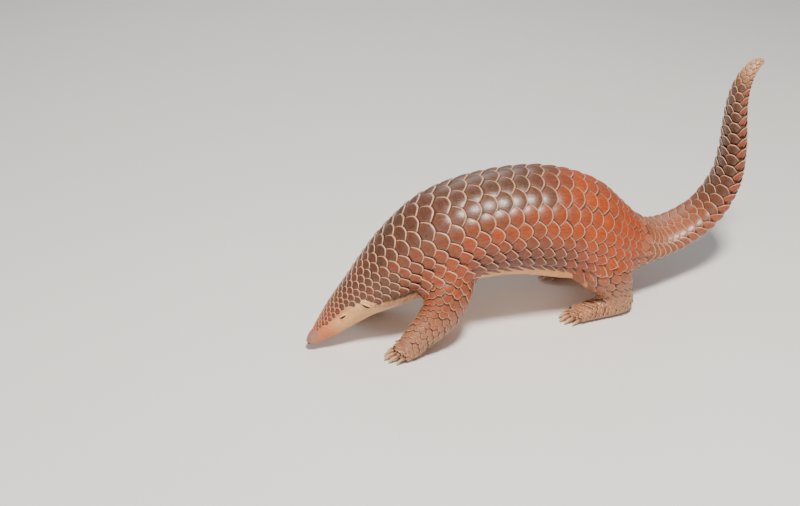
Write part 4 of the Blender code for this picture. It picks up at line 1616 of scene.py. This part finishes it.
def make_camera():
    """The camera at the photograph's angle."""
    azimuth = math.radians(CAMERA_AZIMUTH)
    elevation = math.radians(CAMERA_ELEVATION)
    back = Vector((
        math.sin(azimuth) * math.cos(elevation),
        -math.cos(azimuth) * math.cos(elevation),
        math.sin(elevation),
    ))
    camera = bpy.data.objects.new("camera", bpy.data.cameras.new("camera"))
    camera.data.sensor_fit = "HORIZONTAL"
    camera.data.angle = math.radians(CAMERA_FIELD)
    camera.location = Vector(CAMERA_TARGET) + back * CAMERA_DISTANCE
    camera.rotation_euler = (-back).to_track_quat("-Z", "Y").to_euler()
    camera.data.clip_start = 0.01
    bpy.context.scene.collection.objects.link(camera)
    bpy.context.scene.camera = camera


def make_coat(horn):
    """The scales of the head, trunk, throat and tail."""
    rows = body_rows()
    for name, start, end, across, slot_name in COAT_PARTS:
        part = subset(rows, (rows["x"] >= start) & (rows["x"] < end))
        dress(plates(name, spine, part, across, across), horn, slot_name)
    dress(plates("scales_throat", spine, fringe_rows(), 6, 6), horn, "face_skin")
    spine.set_squash(TAIL_SQUASH)
    dress(plates("scales_tail", spine, tail_rows(), 14, 12), horn, "tail_scale")


def make_legs(tree, horn):
    """The scales of both legs of each side and of the soles behind."""
    for side, word in SIDES:
        for number, (name, joints, far_step, reach, outer) in enumerate(LIMBS):
            tube = leg_tube(joints, side, far_step if side > 0 else 0.0)
            tube.fit_to(tree, LEG_FIT)
            rows = leg_rows(tube, side, SEED + 10 * number + side, reach, outer)
            dress(plates(name + word, tube, rows, 10, 10), horn, "leg_scale")


def make_feet(tree, horn, claw_horn, side, word):
    """The toes' scales and the claws of one side."""
    for number, (kind, root, step, length) in enumerate(CLAWS):
        toes = "scales_" + kind.replace("claw", "toes_") + word
        make_toes(tree, toes, root, step, side, SEED + 100 * number + 50 * (side > 0), horn)
        piece = make_claws(kind, root, step, length, side, word)
        nodes = ["%s_%s_%d" % (kind, word, toe + 1) for toe in range(len(TOE_SIZES))]
        dress(piece, claw_horn, "claw", *nodes)


def main():
    """Makes every piece, the stage and the camera."""
    flesh = whole_flesh()
    tree = BVHTree.FromPolygons(
        [Vector(point) for point in points_of(flesh.data)],
        [tuple(polygon.vertices) for polygon in flesh.data.polygons],
    )
    spine.fit_to(tree, SPINE_FIT)
    dress(make_skin(flesh), skin_material(), "face_skin", *FLESH)
    horn = scale_material("horn")
    make_coat(horn)
    make_legs(tree, horn)
    claw_horn = claw_material()
    wet = eye_material()
    for side, word in SIDES:
        make_feet(tree, horn, claw_horn, side, word)
        dress(make_eye(side, word), wet, "eye", "eye_" + word)
    make_stage()
    make_camera()


main()
